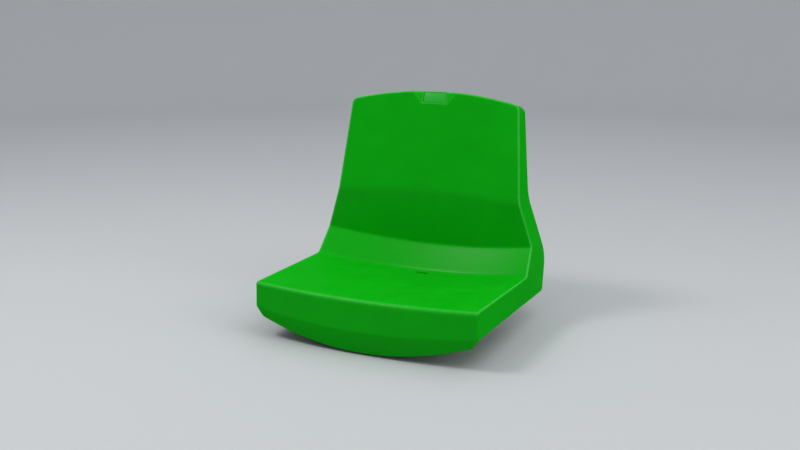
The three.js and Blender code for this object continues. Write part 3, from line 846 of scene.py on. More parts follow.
    def net(self, sheet: Sheet, inset: Inset) -> Array:
        """Knots of the net on a sheet, with the pocket pressed in."""
        place, across = self.net_places(sheet, inset)
        return self.sunk(sheet.points(place, across))

    def edge(self, net: Array) -> Array:
        """Loop of knots round the edge of a net, from the front left corner."""
        return net[self.edge_row, self.edge_column]

    def sunk(self, points: Array) -> Array:
        """Presses points of the back in by the pocket, along the way that the top skirt runs.

        With v the share of the way up the pocket, the pad lies at depth * v, and a cheek at
        depth * (v - (|x| - half the pad) / flare). The lesser of the two holds, and never less than
        none. Both choices are rounded: max(a, b) is (a + b + sqrt((a - b)^2 + r^2)) / 2. What the
        rounding leaves below the pocket fades out, and is gone one pocket's height below it.

        Args:
            points: points of the face.

        Returns:
            The points, moved in.
        """
        up = (points - self.pad_foot) @ self.back_up / self.pad_height
        pad = self.pad_depth * up
        beside = np.abs(points[..., 0]) - self.pad_width / 2
        cheek = pad - self.pad_depth * beside / self.pad_flare
        lesser = (pad + cheek - np.hypot(pad - cheek, self.pad_crease)) / 2
        depth = (lesser + np.hypot(lesser, self.pad_crease)) / 2
        near = np.clip((up + 1) / self.pocket_fade_share, 0, 1)
        slant = -float(self.skirt_way @ self.back_out)
        return points + (depth * near / slant)[..., None] * self.skirt_way

    def free_edge(self, depth: float) -> Array:
        """Lays out the free edge of the skirt for one skin of the wall.

        Across the front it drops to the arc of the apron, z = -drop - dip * (1 - a^2). At each front
        corner a parabola swings it up to the side skirt, and elsewhere it lies in the skirt's sheet.

        Args:
            depth: how far the skin lies under the outer one.

        Returns:
            Loop of points, in the order of the net's edge.
        """
        steps = self.corner_steps
        place, across = self.net_places(self.skirt, Inset.even(depth))
        sheet_net = self.skirt.points(place, across)
        share = self.column_share[self.edge_column]
        outwards = self.outwards[self.edge_column]
        side = np.sign(share)
        level = np.ones(len(side))
        half_width = self.apron_half_width - depth
        back = self.apron_end_setback + depth
        rise = 1 - share**2
        arc = np.column_stack([
            half_width * share,
            back - self.apron_forward * rise,
            -self.apron_end_drop - self.apron_arc_dip * rise,
        ])
        in_front = (self.edge_row == 0) & (outwards == 0)
        in_corner = (self.edge_row <= steps) & ~in_front
        loop = np.where(in_front[:, None], arc, self.edge(sheet_net))
        start = np.column_stack([side * half_width, back * level, -self.apron_end_drop * level])
        control = np.column_stack([
            side * (half_width + self.apron_corner_out),
            back * level,
            -self.apron_corner_drop * level,
        ])
        end = sheet_net[steps, np.where(side < 0, 0, len(self.column_share) - 1)]
        swing = ((outwards * steps + self.edge_row) / (2 * steps))[:, None]
        return np.where(in_corner[:, None], parabola(start, control, end, swing), loop)

    def skin(self, depth: float, rounds: Inset) -> tuple[Array, Array, Array]:
        """Lays out one skin of the wall: its net, and the rings from the net's edge to the lip.

        The edge is rounded by a parabola from the net's edge, with its control point on the sharp
        corner of face and skirt. The skirt then runs straight to a knee, which is the crease of the
        apron across the front, and on to the free edge. The knee is rounded the same way.

        Args:
            depth: how far the skin lies under the outer one.
            rounds: lengths of the roundings along the side, front and top edges.

        Returns:
            The net, rings of points that run out from its edge, and the free edge.
        """
        sheet = self.face.offset(depth, self.least_round) if depth else self.face
        inset = Inset(depth + rounds.side, depth + rounds.front, depth + rounds.top)
        net = self.net(sheet, inset)
        start = self.edge(net)
        tip = self.edge(self.net(sheet, Inset.even(depth)))
        free = self.free_edge(depth)
        place, across = self.net_places(self.skirt, Inset.even(depth))
        crease = self.edge(self.skirt.points(place, across))
        past_corner = np.clip((self.edge_row - self.corner_steps) / self.rows_on_band, 0, 1)
        knee_share = 1 - (1 - self.skirt_knee_share) * past_corner[:, None]
        by_crease = (self.edge_row <= self.corner_steps)[:, None]
        knee = np.where(by_crease, crease, tip + (free - tip) * knee_share)
        end = moved_towards(tip, knee, np.linalg.norm(tip - start, axis=1))
        shares = np.linspace(0, 1, self.round_steps + 1)[1:, None, None]
        edge_rings = parabola(start, tip, end, shares)
        before = moved_towards(knee, tip, self.apron_crease_round)
        after = moved_towards(knee, free, self.apron_crease_round)
        knee_shares = np.linspace(0, 1, self.round_steps // 2 + 1)[:, None, None]
        knee_rings = parabola(before, knee, after, knee_shares)
        eased = np.sin(np.linspace(0, math.pi / 2, self.wall_rows))[1:-1, None, None] ** 2
        wall_rings = end + (before - end) * eased
        return net, np.concatenate([edge_rings, wall_rings, knee_rings]), free

    def moulding(self) -> Surface:
        """Makes the moulding before its ribs, bosses and cuts.

        Returns:
            Its closed surface, with its painted highlight.
        """
        rounds = (self.side_edge_round, self.front_edge_round, self.top_edge_round)
        outer_rounds = Inset(*rounds)
        inner_rounds = Inset(*[max(length - self.wall, self.least_round) for length in rounds])
        outer_net, outer_rings, outer_free = self.skin(0, outer_rounds)
        inner_net, inner_rings, inner_free = self.skin(self.wall, inner_rounds)
        shares = np.linspace(0, 1, self.lip_steps + 1)[:, None, None]
        outer_start = moved_towards(outer_free, outer_rings[-1], self.lip_round)
        outer_end = moved_towards(outer_free, inner_free, self.lip_round)
        inner_start = moved_towards(inner_free, outer_free, self.lip_round)
        inner_end = moved_towards(inner_free, inner_rings[-1], self.lip_round)
        rings = np.concatenate([
            outer_rings,
            parabola(outer_start, outer_free, outer_end, shares),
            parabola(inner_start, inner_free, inner_end, shares),
            inner_rings[::-1],
        ])
        count = self.net_index.size
        loop = len(self.edge_row)
        outer_edge = self.edge(self.net_index)[None]
        band = np.vstack([outer_edge, 2 * count + ring_index(rings), outer_edge + count])
        points = np.vstack([outer_net.reshape(-1, 3), inner_net.reshape(-1, 3), rings.reshape(-1, 3)])
        faces = [
            grid_faces(self.net_index),
            grid_faces(self.net_index[:, ::-1] + count),
            grid_faces(band[::-1], wrap_columns=True),
        ]
        shape = Surface(points, [np.concatenate(faces)]).outward()
        shape.wear_and_painted_light = self.painted_highlight(points[:count], shape.bend(), loop)
        return shape

    def painted_highlight(self, net: Array, bend: Array, loop: int) -> Array:
        """Works out the moulding's painted highlight, which stands also for wear, on the creases of its
        face and its rounded edges.

        Over a rounding, at a share s of the way from face to skirt, it is sin(pi s^q), and less along
        the broad front one. A faint line of it runs where face meets rounding. It is weaker on the
        pocket's creases, and its pad takes an even painted sheen.

        Args:
            net: points of the outer skin's net, which come first.
            bend: bend of the moulding at each point.
            loop: points of a ring, which follow both nets, the roundings' rings first.

        Returns:
            How much painted highlight each point takes, from 0 to 1.
        """
        count = len(net)
        result = np.zeros(len(bend))
        crease = np.clip((bend[:count] - self.highlight_start) / (self.highlight_full - self.highlight_start), 0, 1)
        beside = np.abs(net[:, 0]) - self.pad_width / 2
        up = (net - self.pad_foot) @ self.back_up
        in_pocket = (beside < 2 * self.pad_flare) & (up > -self.overrun)
        crease = np.where(in_pocket, crease * self.highlight_in_pocket, crease)
        # The pad takes an even painted sheen, and the creases a painted highlight.
        result[:count] = np.where((beside < 0) & (up > 0), self.sheen_on_pad, crease)
        along = np.where(self.edge_row == 0, self.highlight_at_front, 1)
        # A faint painted highlight line where the face meets its rounding.
        result[self.edge(self.net_index)] = self.highlight_at_face * along
        # Painted highlight across each rounding.
        across = np.sin(math.pi * even_steps(1, self.round_steps) ** self.highlight_lean)
        result[2 * count : 2 * count + self.round_steps * loop] = np.outer(across, along).ravel()
        return result

    def along_rib(self, x: float) -> Surface:
        """Makes a rib in an upright plane that runs from front to back, at an even depth.

        Args:
            x: where the plane lies.

        Returns:
            The closed surface of the rib.
        """
        bends = (Stretch.UPPER_BACK - Stretch.JUNCTION) * self.round_steps
        end = Stretch.UPPER_BACK + self.corner_end_share
        places = np.concatenate([
            np.linspace(self.corner_start_share / 2, 1, self.rows_on_pan),
            np.linspace(Stretch.JUNCTION, Stretch.UPPER_BACK, bends + 1)[1:],
            np.linspace(Stretch.UPPER_BACK, end, self.rows_on_upper_back)[1:],
        ])
        edges = []
        for sheet in self.rib_sheets():
            edge = sheet.points(places, abs(x) / sheet.side.at(places)[:, 0])
            edge[:, Axis.X] = abs(x)
            edges.append(edge)
        rib = self.rib(edges, Axis.X)
        return rib if x > 0 else rib.mirrored()

    def cross_rib(self, axis: Axis, level: float, span: tuple[Stretch, Stretch]) -> Surface:
        """Makes a rib across the seat in a plane of constant y under the pan, or z behind the back.

        The place of each of its points is found by halving the span.

        Args:
            axis: the axis that is constant.
            level: its value.
            span: places of the face between which that value rises steadily past the level.

        Returns:
            The closed surface of the rib.
        """
        across = np.linspace(-1, 1, 2 * self.columns_beside + 1) * (1 - self.wall / self.top_width)
        edges = []
        for sheet in self.rib_sheets():
            low = np.full(len(across), float(span[0]))
            high = np.full(len(across), float(span[1]))
            for _ in range(self.halvings):
                middle = (low + high) / 2
                below = sheet.points(middle, across)[:, axis] < level
                low = np.where(below, middle, low)
                high = np.where(below, high, middle)
            edge = sheet.points(low, across)
            edge[:, axis] = level
            edges.append(edge)
        return self.rib(edges, axis)

    def rib_sheets(self) -> list[Sheet]:
        """Sheets in which the top of every rib lies, inside the wall, and its foot."""
        depths = (self.wall - self.rib_embed / 2, self.wall + self.rib_depth)
        return [self.face.offset(depth, self.least_round) for depth in depths]

    def rib(self, edges: list[Array], axis: Axis) -> Surface:
        """Makes a strip between two edges, its foot rounded.

        The section is carried along the edges: two points at the top, then a quarter round at
        either side of the foot.

        Args:
            edges: points of the top edge and of the foot.
            axis: the axis along which it has its thickness.

        Returns:
            The closed surface of the strip.
        """
        top, foot = edges
        half = self.rib_thickness / 2
        radius = self.rib_edge_round
        depth = np.linalg.norm(foot - top, axis=1, keepdims=True)
        depth_way = (foot - top) / depth
        right = quarter_round(radius, self.rib_foot_steps, 0, 1) + (half - radius, -radius)
        left = quarter_round(radius, self.rib_foot_steps, math.pi / 2, 1) + (radius - half, -radius)
        low = np.vstack([right, left])
        sides = np.concatenate([[half], low[:, 0], [-half]])
        at_top = np.zeros_like(depth)
        reach = np.hstack([at_top, depth + low[:, 1], at_top])
        points = top[:, None] + reach[..., None] * depth_way[:, None]
        return stacked_rings(points + sides[None, :, None] * np.eye(3)[axis])

    def boss_places(self) -> Array:
        """Finds the middles of the four bosses.

        Returns:
            Rows of x and y.
        """
        xs = np.array([-1, -1, 1, 1]) * self.boss_spacing_x / 2
        ys = self.boss_front_back + np.array([0, 1, 0, 1]) * self.boss_spacing_y
        return np.column_stack([xs, ys])

    def boss(self, middle: Array) -> Surface:
        """Makes a tapered boss from the skin of the pan down to its level foot, its rim rounded.

        Args:
            middle: x and y of its middle.

        Returns:
            The closed surface of the boss.
        """
        x, y = middle
        across = np.full(self.pan_samples, 2 * abs(x) / self.front_width)
        pan = self.face.points(np.linspace(0, 1, self.pan_samples), across)
        top = float(np.interp(y, pan[:, 1], pan[:, 2])) - self.wall / 2
        rim = quarter_round(self.lip_round, self.lip_steps, -math.pi / 2, 1)
        rim += (self.boss_radius - self.lip_round, self.lip_round - self.boss_floor_depth)
        profile = np.vstack([rim, [[self.boss_top_radius, top]]])
        return stacked_rings(revolved(profile, self.turn_sides)).moved(np.array([*middle, 0]))

    def boss_hole(self, middle: Array) -> Surface:
        """Makes the cutter for a threaded insert's hole, with a chamfered mouth and a coned end.

        Args:
            middle: x and y of its middle.

        Returns:
            The closed surface of the cutter.
        """
        radius = self.insert_radius + self.gap
        depth = self.insert_length + 2 * self.gap
        mouth = -self.boss_floor_depth
        profile = np.array([
            [radius + self.lip_round, mouth - self.overrun],
            [radius + self.lip_round / 2, mouth],
            [radius, mouth + self.lip_round / 2],
            [radius, mouth + depth],
            [self.gap, mouth + depth + self.insert_radius / 2],
        ])
        return stacked_rings(revolved(profile, self.turn_sides)).moved(np.array([*middle, 0]))

    def drain_slot(self) -> Surface:
        """Makes the cutter for the slot through the lowest line of the face, with round ends.

        Returns:
            The closed surface of the cutter.
        """
        half = self.slot_width / 2
        outline = rounded_outline(self.slot_length, self.slot_width, half, self.round_steps)
        profile = np.array([[0, -self.wall - self.overrun], [0, self.wall + self.overrun]])
        rings = levels_of(outline, half, profile)
        lowest = self.face.middle.point(Stretch.JUNCTION)
        back = self.face.middle.knots[1, Axis.Y] - self.slot_setback
        return stacked_rings(rings + (0, back, lowest[Axis.Z]))

    def on_pad(self, rings: Array) -> Array:
        """Rings drawn flat, with +Z out, moved onto the pad."""
        return rings @ np.stack([ACROSS, self.pad_up, self.pad_out]) + self.pad_centre

    def plate_recess(self) -> Surface:
        """Makes the cutter for the plate's recess: straight walls, and a rim rounded at the pad.

        Returns:
            The closed surface of the cutter.
        """
        radius = self.plate_corner_radius + self.gap
        width = self.plate_width + 2 * self.gap
        height = self.plate_height + 2 * self.gap
        outline = rounded_outline(width, height, radius, self.recess_corner_steps)
        rim = quarter_round(self.recess_rim_round, self.lip_steps, math.pi, -1)
        rim += (self.recess_rim_round, -self.recess_rim_round)
        beyond = [[self.recess_rim_round, self.overrun]]
        profile = np.vstack([[[0, -self.recess_depth]], rim, beyond])
        return stacked_rings(self.on_pad(levels_of(outline, radius, profile)))

    def peg_hole(self, side: int) -> Surface:
        """Makes the cutter for one of the two holes that take the plate's pegs.

        Args:
            side: -1 for the left hole, 1 for the right one.

        Returns:
            The closed surface of the cutter.
        """
        radius = self.peg_radius + self.gap
        reach = self.pad_depth + self.wall
        profile = np.array([[radius, -reach], [radius, reach]])
        rings = revolved(profile, self.turn_sides) + (side * self.peg_spacing / 2, 0, 0)
        return stacked_rings(self.on_pad(rings))

    def build(self, material: Material) -> bpy.types.Object:
        """Makes the shell: moulding, ribs and bosses joined on, then slot, pocket and holes cut.

        Args:
            material: the plastic.

        Returns:
            The shell.
        """
        spacings = (self.boss_spacing_x, self.outer_rib_spacing)
        under = (self.front_rib_back, self.boss_front_back, self.boss_front_back + self.boss_spacing_y)
        behind = (self.crease_z, self.upper_rib_height)
        joins = [self.along_rib(side * spacing / 2) for spacing in spacings for side in (-1, 1)]
        joins += [self.cross_rib(Axis.Y, y, (Stretch.PAN, Stretch.JUNCTION)) for y in under]
        joins += [self.cross_rib(Axis.Z, z, (Stretch.BAND, Stretch.END)) for z in behind]
        joins += [self.boss(middle) for middle in self.boss_places()]
        cuts = [self.drain_slot(), self.plate_recess(), self.peg_hole(-1), self.peg_hole(1)]
        cuts += [self.boss_hole(middle) for middle in self.boss_places()]
        steps = [(Cut.JOIN, surface.moved(self.place)) for surface in joins]
        steps += [(Cut.REMOVE, surface.moved(self.place)) for surface in cuts]
        data = combined(self.moulding().moved(self.place), steps, "seat_shell_moulding")
        return place_piece("seat_shell_moulding", data, "seat_shell", material)


# Plate, feet and fixings


@dataclass
class NumberPlate:
    """Blank plate for the pocket, with two push-in pegs on its back."""

    shell: SeatShell
    thickness: float = 0.0012
    sink: float = 0.001
    edge_round: float = 0.0003
    peg_length: float = 0.0045
    peg_barb: float = 0.00012
    edge_steps: int = 3
    corner_steps: int = 6
    tip_steps: int = 4
    peg_levels: int = 10
    peg_sides: int = 24

    def body(self) -> Surface:
        """Makes a rounded rectangle with its front edge rounded, its front facing +Z.

        Returns:
            The closed surface of the plate without its pegs.
        """
        shell = self.shell
        radius = shell.plate_corner_radius
        outline = rounded_outline(shell.plate_width, shell.plate_height, radius, self.corner_steps)
        rim = quarter_round(self.edge_round, self.edge_steps, 0, 1) - (self.edge_round, self.edge_round)
        profile = np.vstack([[[0, -self.thickness]], rim])
        return stacked_rings(levels_of(outline, radius, profile) - (0, 0, self.sink))

    def peg(self, side: int) -> Surface:
        """Makes a peg with a rounded tip, and a barb that swells as barb * sin^2 on its outer half.

        Args:
            side: -1 for the left peg, 1 for the right one.

        Returns:
            The closed surface of the peg.
        """
        radius = self.shell.peg_radius
        tip = -self.sink - self.thickness - self.peg_length
        root = -self.sink - self.thickness / 2
        share = np.linspace(0, 1, self.peg_levels)
        swell = self.peg_barb * np.sin(np.pi * np.clip(2 * share, 0, 1)) ** 2
        height = tip + radius / 2 + share * (root - tip - radius / 2)
        nose = quarter_round(radius / 2, self.tip_steps, -math.pi / 2, 1) + (radius / 2, tip + radius / 2)
        profile = np.vstack([nose[:-1], np.column_stack([radius + swell, height])])
        rings = revolved(profile, self.peg_sides)
        return stacked_rings(rings + (side * self.shell.peg_spacing / 2, 0, 0))

    def build(self, material: Material) -> bpy.types.Object:
        """Makes the plate with its pegs joined on, in its recess.

        Args:
            material: the plastic.

        Returns:
            The plate.
        """
        body, *pegs = [
            Surface(self.shell.on_pad(part.points) + self.shell.place, part.faces).outward()
            for part in (self.body(), self.peg(-1), self.peg(1))
        ]
        data = combined(body, [(Cut.JOIN, peg) for peg in pegs], "number_plate_blank")
        return place_piece("number_plate_blank", data, "number_plate", material)


@dataclass
class SteelFoot:
    """Foot folded from flat strip: a bridge under two bosses, two legs and two slotted flanges."""

    shell: SeatShell
    side: int
    strip_width: float = 0.040
    strip_thickness: float = 0.005
    bend_radius: float = 0.005
    front_heel_back: float = 0.104
    bridge_front_back: float = 0.111
    bridge_rear_back: float = 0.215
    rear_heel_back: float = 0.222
    rear_toe_back: float = 0.262
    anchor_slot_width: float = 0.011
    anchor_slot_length: float = 0.022
    toe_corner_radius: float = 0.006
    edge_round: float = 0.0006
    bolt_hole_radius: float = 0.0045
    edge_steps: int = 3
    bend_steps: int = 10
    toe_steps: int = 8
    hole_sides: int = 40

    def centre_line(self) -> tuple[Array, Array]:
        """Lays out the middle of the strip's thickness.

        In a bend of radius R that starts at a point heading along a, with n square to a towards the
        bend's centre, the line is start + R (a sin t + n (1 - cos t)) and heads along
        a cos t + n sin t.

        Returns:
            Points of the line and the ways that it heads there, as rows of y and z.
        """
        half = self.strip_thickness / 2
        floor = half - self.shell.feet_depth
        bridge = -self.shell.boss_floor_depth - self.shell.gap - half
        knots = np.array([
            [self.shell.front_toe_back, floor],
            [self.front_heel_back, floor],
            [self.bridge_front_back, bridge],
            [self.bridge_rear_back, bridge],
            [self.rear_heel_back, floor],
            [self.rear_toe_back, floor],
        ])
        along = np.diff(knots, axis=0)
        along /= np.linalg.norm(along, axis=1)[:, None]
        radius = self.bend_radius + half
        ease = np.linspace(0, 1, self.toe_steps) ** 2 * self.toe_corner_radius
        lines = [knots[0] + ease[:, None] * along[0]]
        headings = [np.repeat(along[:1], self.toe_steps, axis=0)]
        for knot, before, after in zip(knots[1:-1], along[:-1], along[1:]):
            turn = math.atan2(before[0] * after[1] - before[1] * after[0], float(before @ after))
            inward = math.copysign(1, turn) * np.array([-before[1], before[0]])
            start = knot - before * radius * math.tan(abs(turn) / 2)
            angle = np.linspace(0, abs(turn), self.bend_steps + 1)[:, None]
            lines.append(start + radius * (before * np.sin(angle) + inward * (1 - np.cos(angle))))
            headings.append(before * np.cos(angle) + inward * np.sin(angle))
        lines.append(knots[-1] - ease[::-1, None] * along[-1])
        headings.append(np.repeat(along[-1:], self.toe_steps, axis=0))
        return np.vstack(lines), np.vstack(headings)

    def strip(self) -> Surface:
        """Carries a rounded rectangle along the centre line.

        At a distance u from a toe, the half width is less by r - sqrt(r^2 - (r - u)^2) for the toe's
        corner radius r, and width and thickness are both less by the same with the edge rounding.

        Returns:
            The closed surface of the folded strip.
        """
        line, heading = self.centre_line()
        gone = np.concatenate([[0], np.cumsum(np.linalg.norm(np.diff(line, axis=0), axis=1))])
        from_toe = np.minimum(gone, gone[-1] - gone)

        def lost(radius: float) -> Array:
            """How much a rounding of that radius takes off at each ring."""
            return radius - np.sqrt(radius**2 - np.maximum(radius - from_toe, 0) ** 2)

        edge = self.edge_round
        width = self.strip_width / 2 - lost(self.toe_corner_radius) - lost(edge)
        thickness = self.strip_thickness / 2 - lost(edge)
        centres, directions = rounded_outline(2, 2, 0, self.edge_steps)
        half = np.column_stack([width, thickness])[:, None] - edge
        flat = np.sign(centres) * half + edge * directions
        normal = np.column_stack([-heading[:, 1], heading[:, 0]])
        rings = np.empty(flat.shape[:2] + (3,))
        rings[..., 0] = flat[..., 0]
        rings[..., 1:] = line[:, None] + flat[..., 1:] * normal[:, None]
        return stacked_rings(rings)

    def holes(self) -> list[Surface]:
        """Makes the cutters for the two bolt holes and the two anchor slots.

        Returns:
            Their closed surfaces.
        """
        shell = self.shell
        reach = self.strip_thickness + shell.overrun
        column = np.array([[self.bolt_hole_radius, -reach], [self.bolt_hole_radius, reach]])
        bolts = [
            revolved(column, self.hole_sides) + (0, y, -shell.boss_floor_depth)
            for y in sorted(set(shell.boss_places()[:, 1]))
        ]
        half = self.anchor_slot_width / 2
        outline = rounded_outline(self.anchor_slot_length, self.anchor_slot_width, half, self.bend_steps)
        backs = (
            (shell.front_toe_back + self.front_heel_back - self.bend_radius) / 2,
            (self.rear_toe_back + self.rear_heel_back + self.bend_radius) / 2,
        )
        profile = np.array([[0, -reach], [0, reach]])
        slots = [levels_of(outline, half, profile) + (0, back, -shell.feet_depth) for back in backs]
        return [stacked_rings(rings) for rings in bolts + slots]

    def build(self, material: Material) -> bpy.types.Object:
        """Makes the foot with its holes cut.

        Args:
            material: the galvanised steel.

        Returns:
            The foot.
        """
        place = self.shell.place + (self.side * self.shell.boss_spacing_x / 2, 0, 0)
        hand = "left" if self.side < 0 else "right"
        cuts = [(Cut.REMOVE, hole.moved(place)) for hole in self.holes()]
        name = f"folded_foot_{hand}"
        data = combined(self.strip().moved(place), cuts, name)
        return place_piece(name, data, f"foot_{hand}", material)


@dataclass
class Fixings:
    """Insert, bolt, washer and lock washer of one boss, each placed by its node's box."""

    corner: str
    finishes: dict[Slot, Material]
    thread_radius: float = 0.004
    thread_pitch: float = 0.00125
    thread_depth: float = 0.00072
    head_across_flats: float = 0.013
    head_height: float = 0.0053
    head_chamfer: float = math.radians(30)
    end_chamfer: float = 0.001
    bore_clearance: float = 0.0005
    insert_clearance: float = 0.0003
    insert_chamfer: float = 0.0008
    knurl_depth: float = 0.0003
    knurl_teeth: int = 30
    lock_slit: float = 0.0022
    edge_round: float = 0.0002
    edge_steps: int = 3
    head_levels: int = 6
    levels_per_pitch: int = 6
    steps_per_tooth: int = 4
    sides: int = 48

    def place(self, node: str) -> tuple[Array, float, float]:
        """Reads where a fixing stands from its node's box.

        Args:
            node: its node.

        Returns:
            The foot of its axis, its height and its radius.
        """
        low, high = (np.array(corner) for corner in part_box(node))
        foot = np.array([(low[0] + high[0]) / 2, (low[1] + high[1]) / 2, low[2]])
        return foot, float(high[2] - low[2]), float(high[0] - low[0]) / 2

    def finish(self, kind: str, data: Surface, slot: Slot) -> None:
        """Puts one fixing into the scene."""
        name = f"{kind}_piece_{self.corner}"
        place_piece(name, data.mesh(name), f"{kind}_{self.corner}", self.finishes[slot])

    def build_bolt(self) -> None:
        """Makes the hexagon bolt, head down.

        The head's radius at an angle t is the lesser of flat / cos(t - nearest flat) and the
        chamfer's cone. The thread's is radius - depth * w(z / pitch - t / 2 pi), where w is a
        triangle wave from 0 to 1, and a cone trims its end.
        """
        foot, height, _ = self.place(f"bolt_{self.corner}")
        angle = full_turn(self.sides)
        flat = self.head_across_flats / 2
        hexagon = flat / np.cos((angle % (math.pi / 3)) - math.pi / 6)
        corner_rise = (hexagon.max() - flat) * math.tan(self.head_chamfer)
        head_z = np.concatenate([np.linspace(0, corner_rise, self.head_levels), [self.head_height]])
        cone = flat + head_z / math.tan(self.head_chamfer)
        head = np.minimum(hexagon[None], cone[:, None])
        count = int((height - self.head_height) / self.thread_pitch * self.levels_per_pitch)
        shank_z = np.linspace(self.head_height, height, count)
        phase = (shank_z[:, None] / self.thread_pitch - angle[None] / (2 * math.pi)) % 1
        wave = np.abs(2 * phase - 1)
        started = np.clip((shank_z - self.head_height) / self.thread_pitch, 0, 1)[:, None]
        shank = self.thread_radius - self.thread_depth * wave * started
        trim = self.thread_radius - self.end_chamfer + (height - shank_z)[:, None]
        radius = np.vstack([head, np.minimum(shank, trim)])
        levels = np.concatenate([head_z, shank_z])
        rings = raised(radius[..., None] * directions_at(angle), levels[:, None])
        self.finish("bolt", stacked_rings(rings).moved(foot), Slot.ZINC)

    def ring_section(self, radius: float, height: float) -> Array:
        """Draws a rounded rectangle between the bore for the bolt and an outer radius.

        Args:
            radius: the outer radius.
            height: the height.

        Returns:
            Rows of radius and height.
        """
        bore = self.thread_radius + self.bore_clearance
        centres, directions = rounded_outline(radius - bore, height, self.edge_round, self.edge_steps)
        return centres + self.edge_round * directions + ((radius + bore) / 2, height / 2)

    def build_washer(self) -> None:
        """Makes the flat washer: a rounded rectangle turned about the axis."""
        foot, height, radius = self.place(f"washer_{self.corner}")
        rings = revolved(self.ring_section(radius, height), self.sides)
        self.finish("washer", closed_tube(rings).moved(foot), Slot.ZINC)

    def build_lock_washer(self) -> None:
        """Makes the split lock washer: the section carried round an open ring, slit to the back."""
        foot, height, radius = self.place(f"lock_washer_{self.corner}")
        section = self.ring_section(radius, height)
        half_slit = self.lock_slit / (2 * radius)
        angle = math.pi / 2 + np.linspace(half_slit, 2 * math.pi - half_slit, self.sides)
        rings = raised(section[:, :1] * directions_at(angle)[:, None], section[:, 1])
        self.finish("lock_washer", stacked_rings(rings).moved(foot), Slot.ZINC)

    def build_insert(self) -> None:
        """Makes the insert: its outside is cut by teeth, radius - depth * (1 + cos(n t)) / 2."""
        foot, height, radius = self.place(f"insert_{self.corner}")
        bore = self.thread_radius + self.insert_clearance
        chamfer = self.insert_chamfer
        groove = chamfer - self.knurl_depth
        middle = height / 2
        radii_heights_and_teeth = np.array([
            [radius - chamfer, 0, 0],
            [radius, chamfer, 0],
            [radius, 2 * chamfer, 1],
            [radius, middle - chamfer, 1],
            [radius - self.knurl_depth, middle - groove, 0],
            [radius - self.knurl_depth, middle + groove, 0],
            [radius, middle + chamfer, 1],
            [radius, height - 2 * chamfer, 1],
            [radius, height - chamfer, 0],
            [radius - chamfer, height, 0],
            [bore, height, 0],
            [bore, 0, 0],
        ])
        level_radius, level, toothed = np.hsplit(radii_heights_and_teeth, 3)
        angle = full_turn(self.knurl_teeth * self.steps_per_tooth)
        teeth = self.knurl_depth * (1 + np.cos(self.knurl_teeth * angle)) / 2
        rings = raised((level_radius - toothed * teeth)[..., None] * directions_at(angle), level)
        self.finish("insert", closed_tube(rings).moved(foot), Slot.BRASS)


# Finishes


Socket = bpy.types.NodeSocket
Colour = Triple
Span = tuple[float, float]
Feed = float | tuple | Socket


class Effect(Enum):
    """Effects that several finishes share, each a shader node group."""

    GRAIN = "fine_grain"
    EDGES = "sharp_edges"
    WEAR_AND_LIGHT = "edge_wear"
    DUST = "settled_dust"
    SCUFFS = "light_scuffs"


class Wiring:
    """Adds nodes to a shader tree and joins them."""

    def __init__(self, tree: NodeTree) -> None:
        """Takes the tree of a material or of a group."""
        self.tree = tree

    def add(
        self,
        kind: str,
        inputs: dict[str | int, Feed] | None = None,
        **settings: object,
    ) -> bpy.types.Node:
        """Adds a node.

        Args:
            kind: the node's type without its leading ShaderNode.
            inputs: a value, or a socket to link from, for inputs by name or number.
            settings: the node's own settings, made before its inputs are.

        Returns:
            The new node.
        """
        node = self.tree.nodes.new(f"ShaderNode{kind}")
        for key, value in settings.items():
            setattr(node, key, value)
        for key, feed in (inputs or {}).items():
            self.join(feed, node.inputs[key])
        return node

    def join(self, feed: Feed, socket: Socket) -> None:
        """Feeds an input.

        Args:
            feed: a socket to link from, or a value.
            socket: the input.
        """
        if isinstance(feed, Socket):
            self.tree.links.new(feed, socket)
        elif isinstance(feed, tuple) and len(socket.default_value) > len(feed):
            socket.default_value = (*feed, 1.0)
        else:
            socket.default_value = feed

    def calc(self, operation: str, *terms: Feed) -> Socket:
        """Result of a sum on numbers."""
        return self.add("Math", dict(enumerate(terms)), operation=operation).outputs[0]

    def product(self, *terms: Feed) -> Socket:
        """Product of two or more numbers."""
        return functools.reduce(lambda first, second: self.calc("MULTIPLY", first, second), terms)

    def between(self, share: Feed, low: Feed, high: Feed) -> Socket:
        """Number that lies a share of the way from low to high."""
        return self.add("Mix", {0: share, 2: low, 3: high}, data_type="FLOAT").outputs[0]

    def blend(self, share: Feed, first: Feed, second: Feed) -> Socket:
        """Colour that lies a share of the way from the first to the second."""
        return self.add("Mix", {0: share, 6: first, 7: second}, data_type="RGBA").outputs[2]

    def vector(self, operation: str, inputs: dict[str | int, Feed]) -> bpy.types.Node:
        """Node for a sum on vectors."""
        return self.add("VectorMath", inputs, operation=operation)

    def ramp(self, value: Feed, span: Span, low: float = 0.0, high: float = 1.0) -> Socket:
        """Number that runs from low to high as the value runs over a span, and stays there."""
        inputs = {"Value": value, "From Min": span[0], "From Max": span[1], "To Min": low, "To Max": high}
        return self.add("MapRange", inputs).outputs[0]

    def noise(self, vector: Socket, size: Feed, detail: float) -> Socket:
        """Noise from 0 to 1 whose lumps are about as long as the size."""
        scale = self.calc("DIVIDE", 1.0, size)
        return self.add("TexNoise", {"Vector": vector, "Scale": scale, "Detail": detail}).outputs[0]


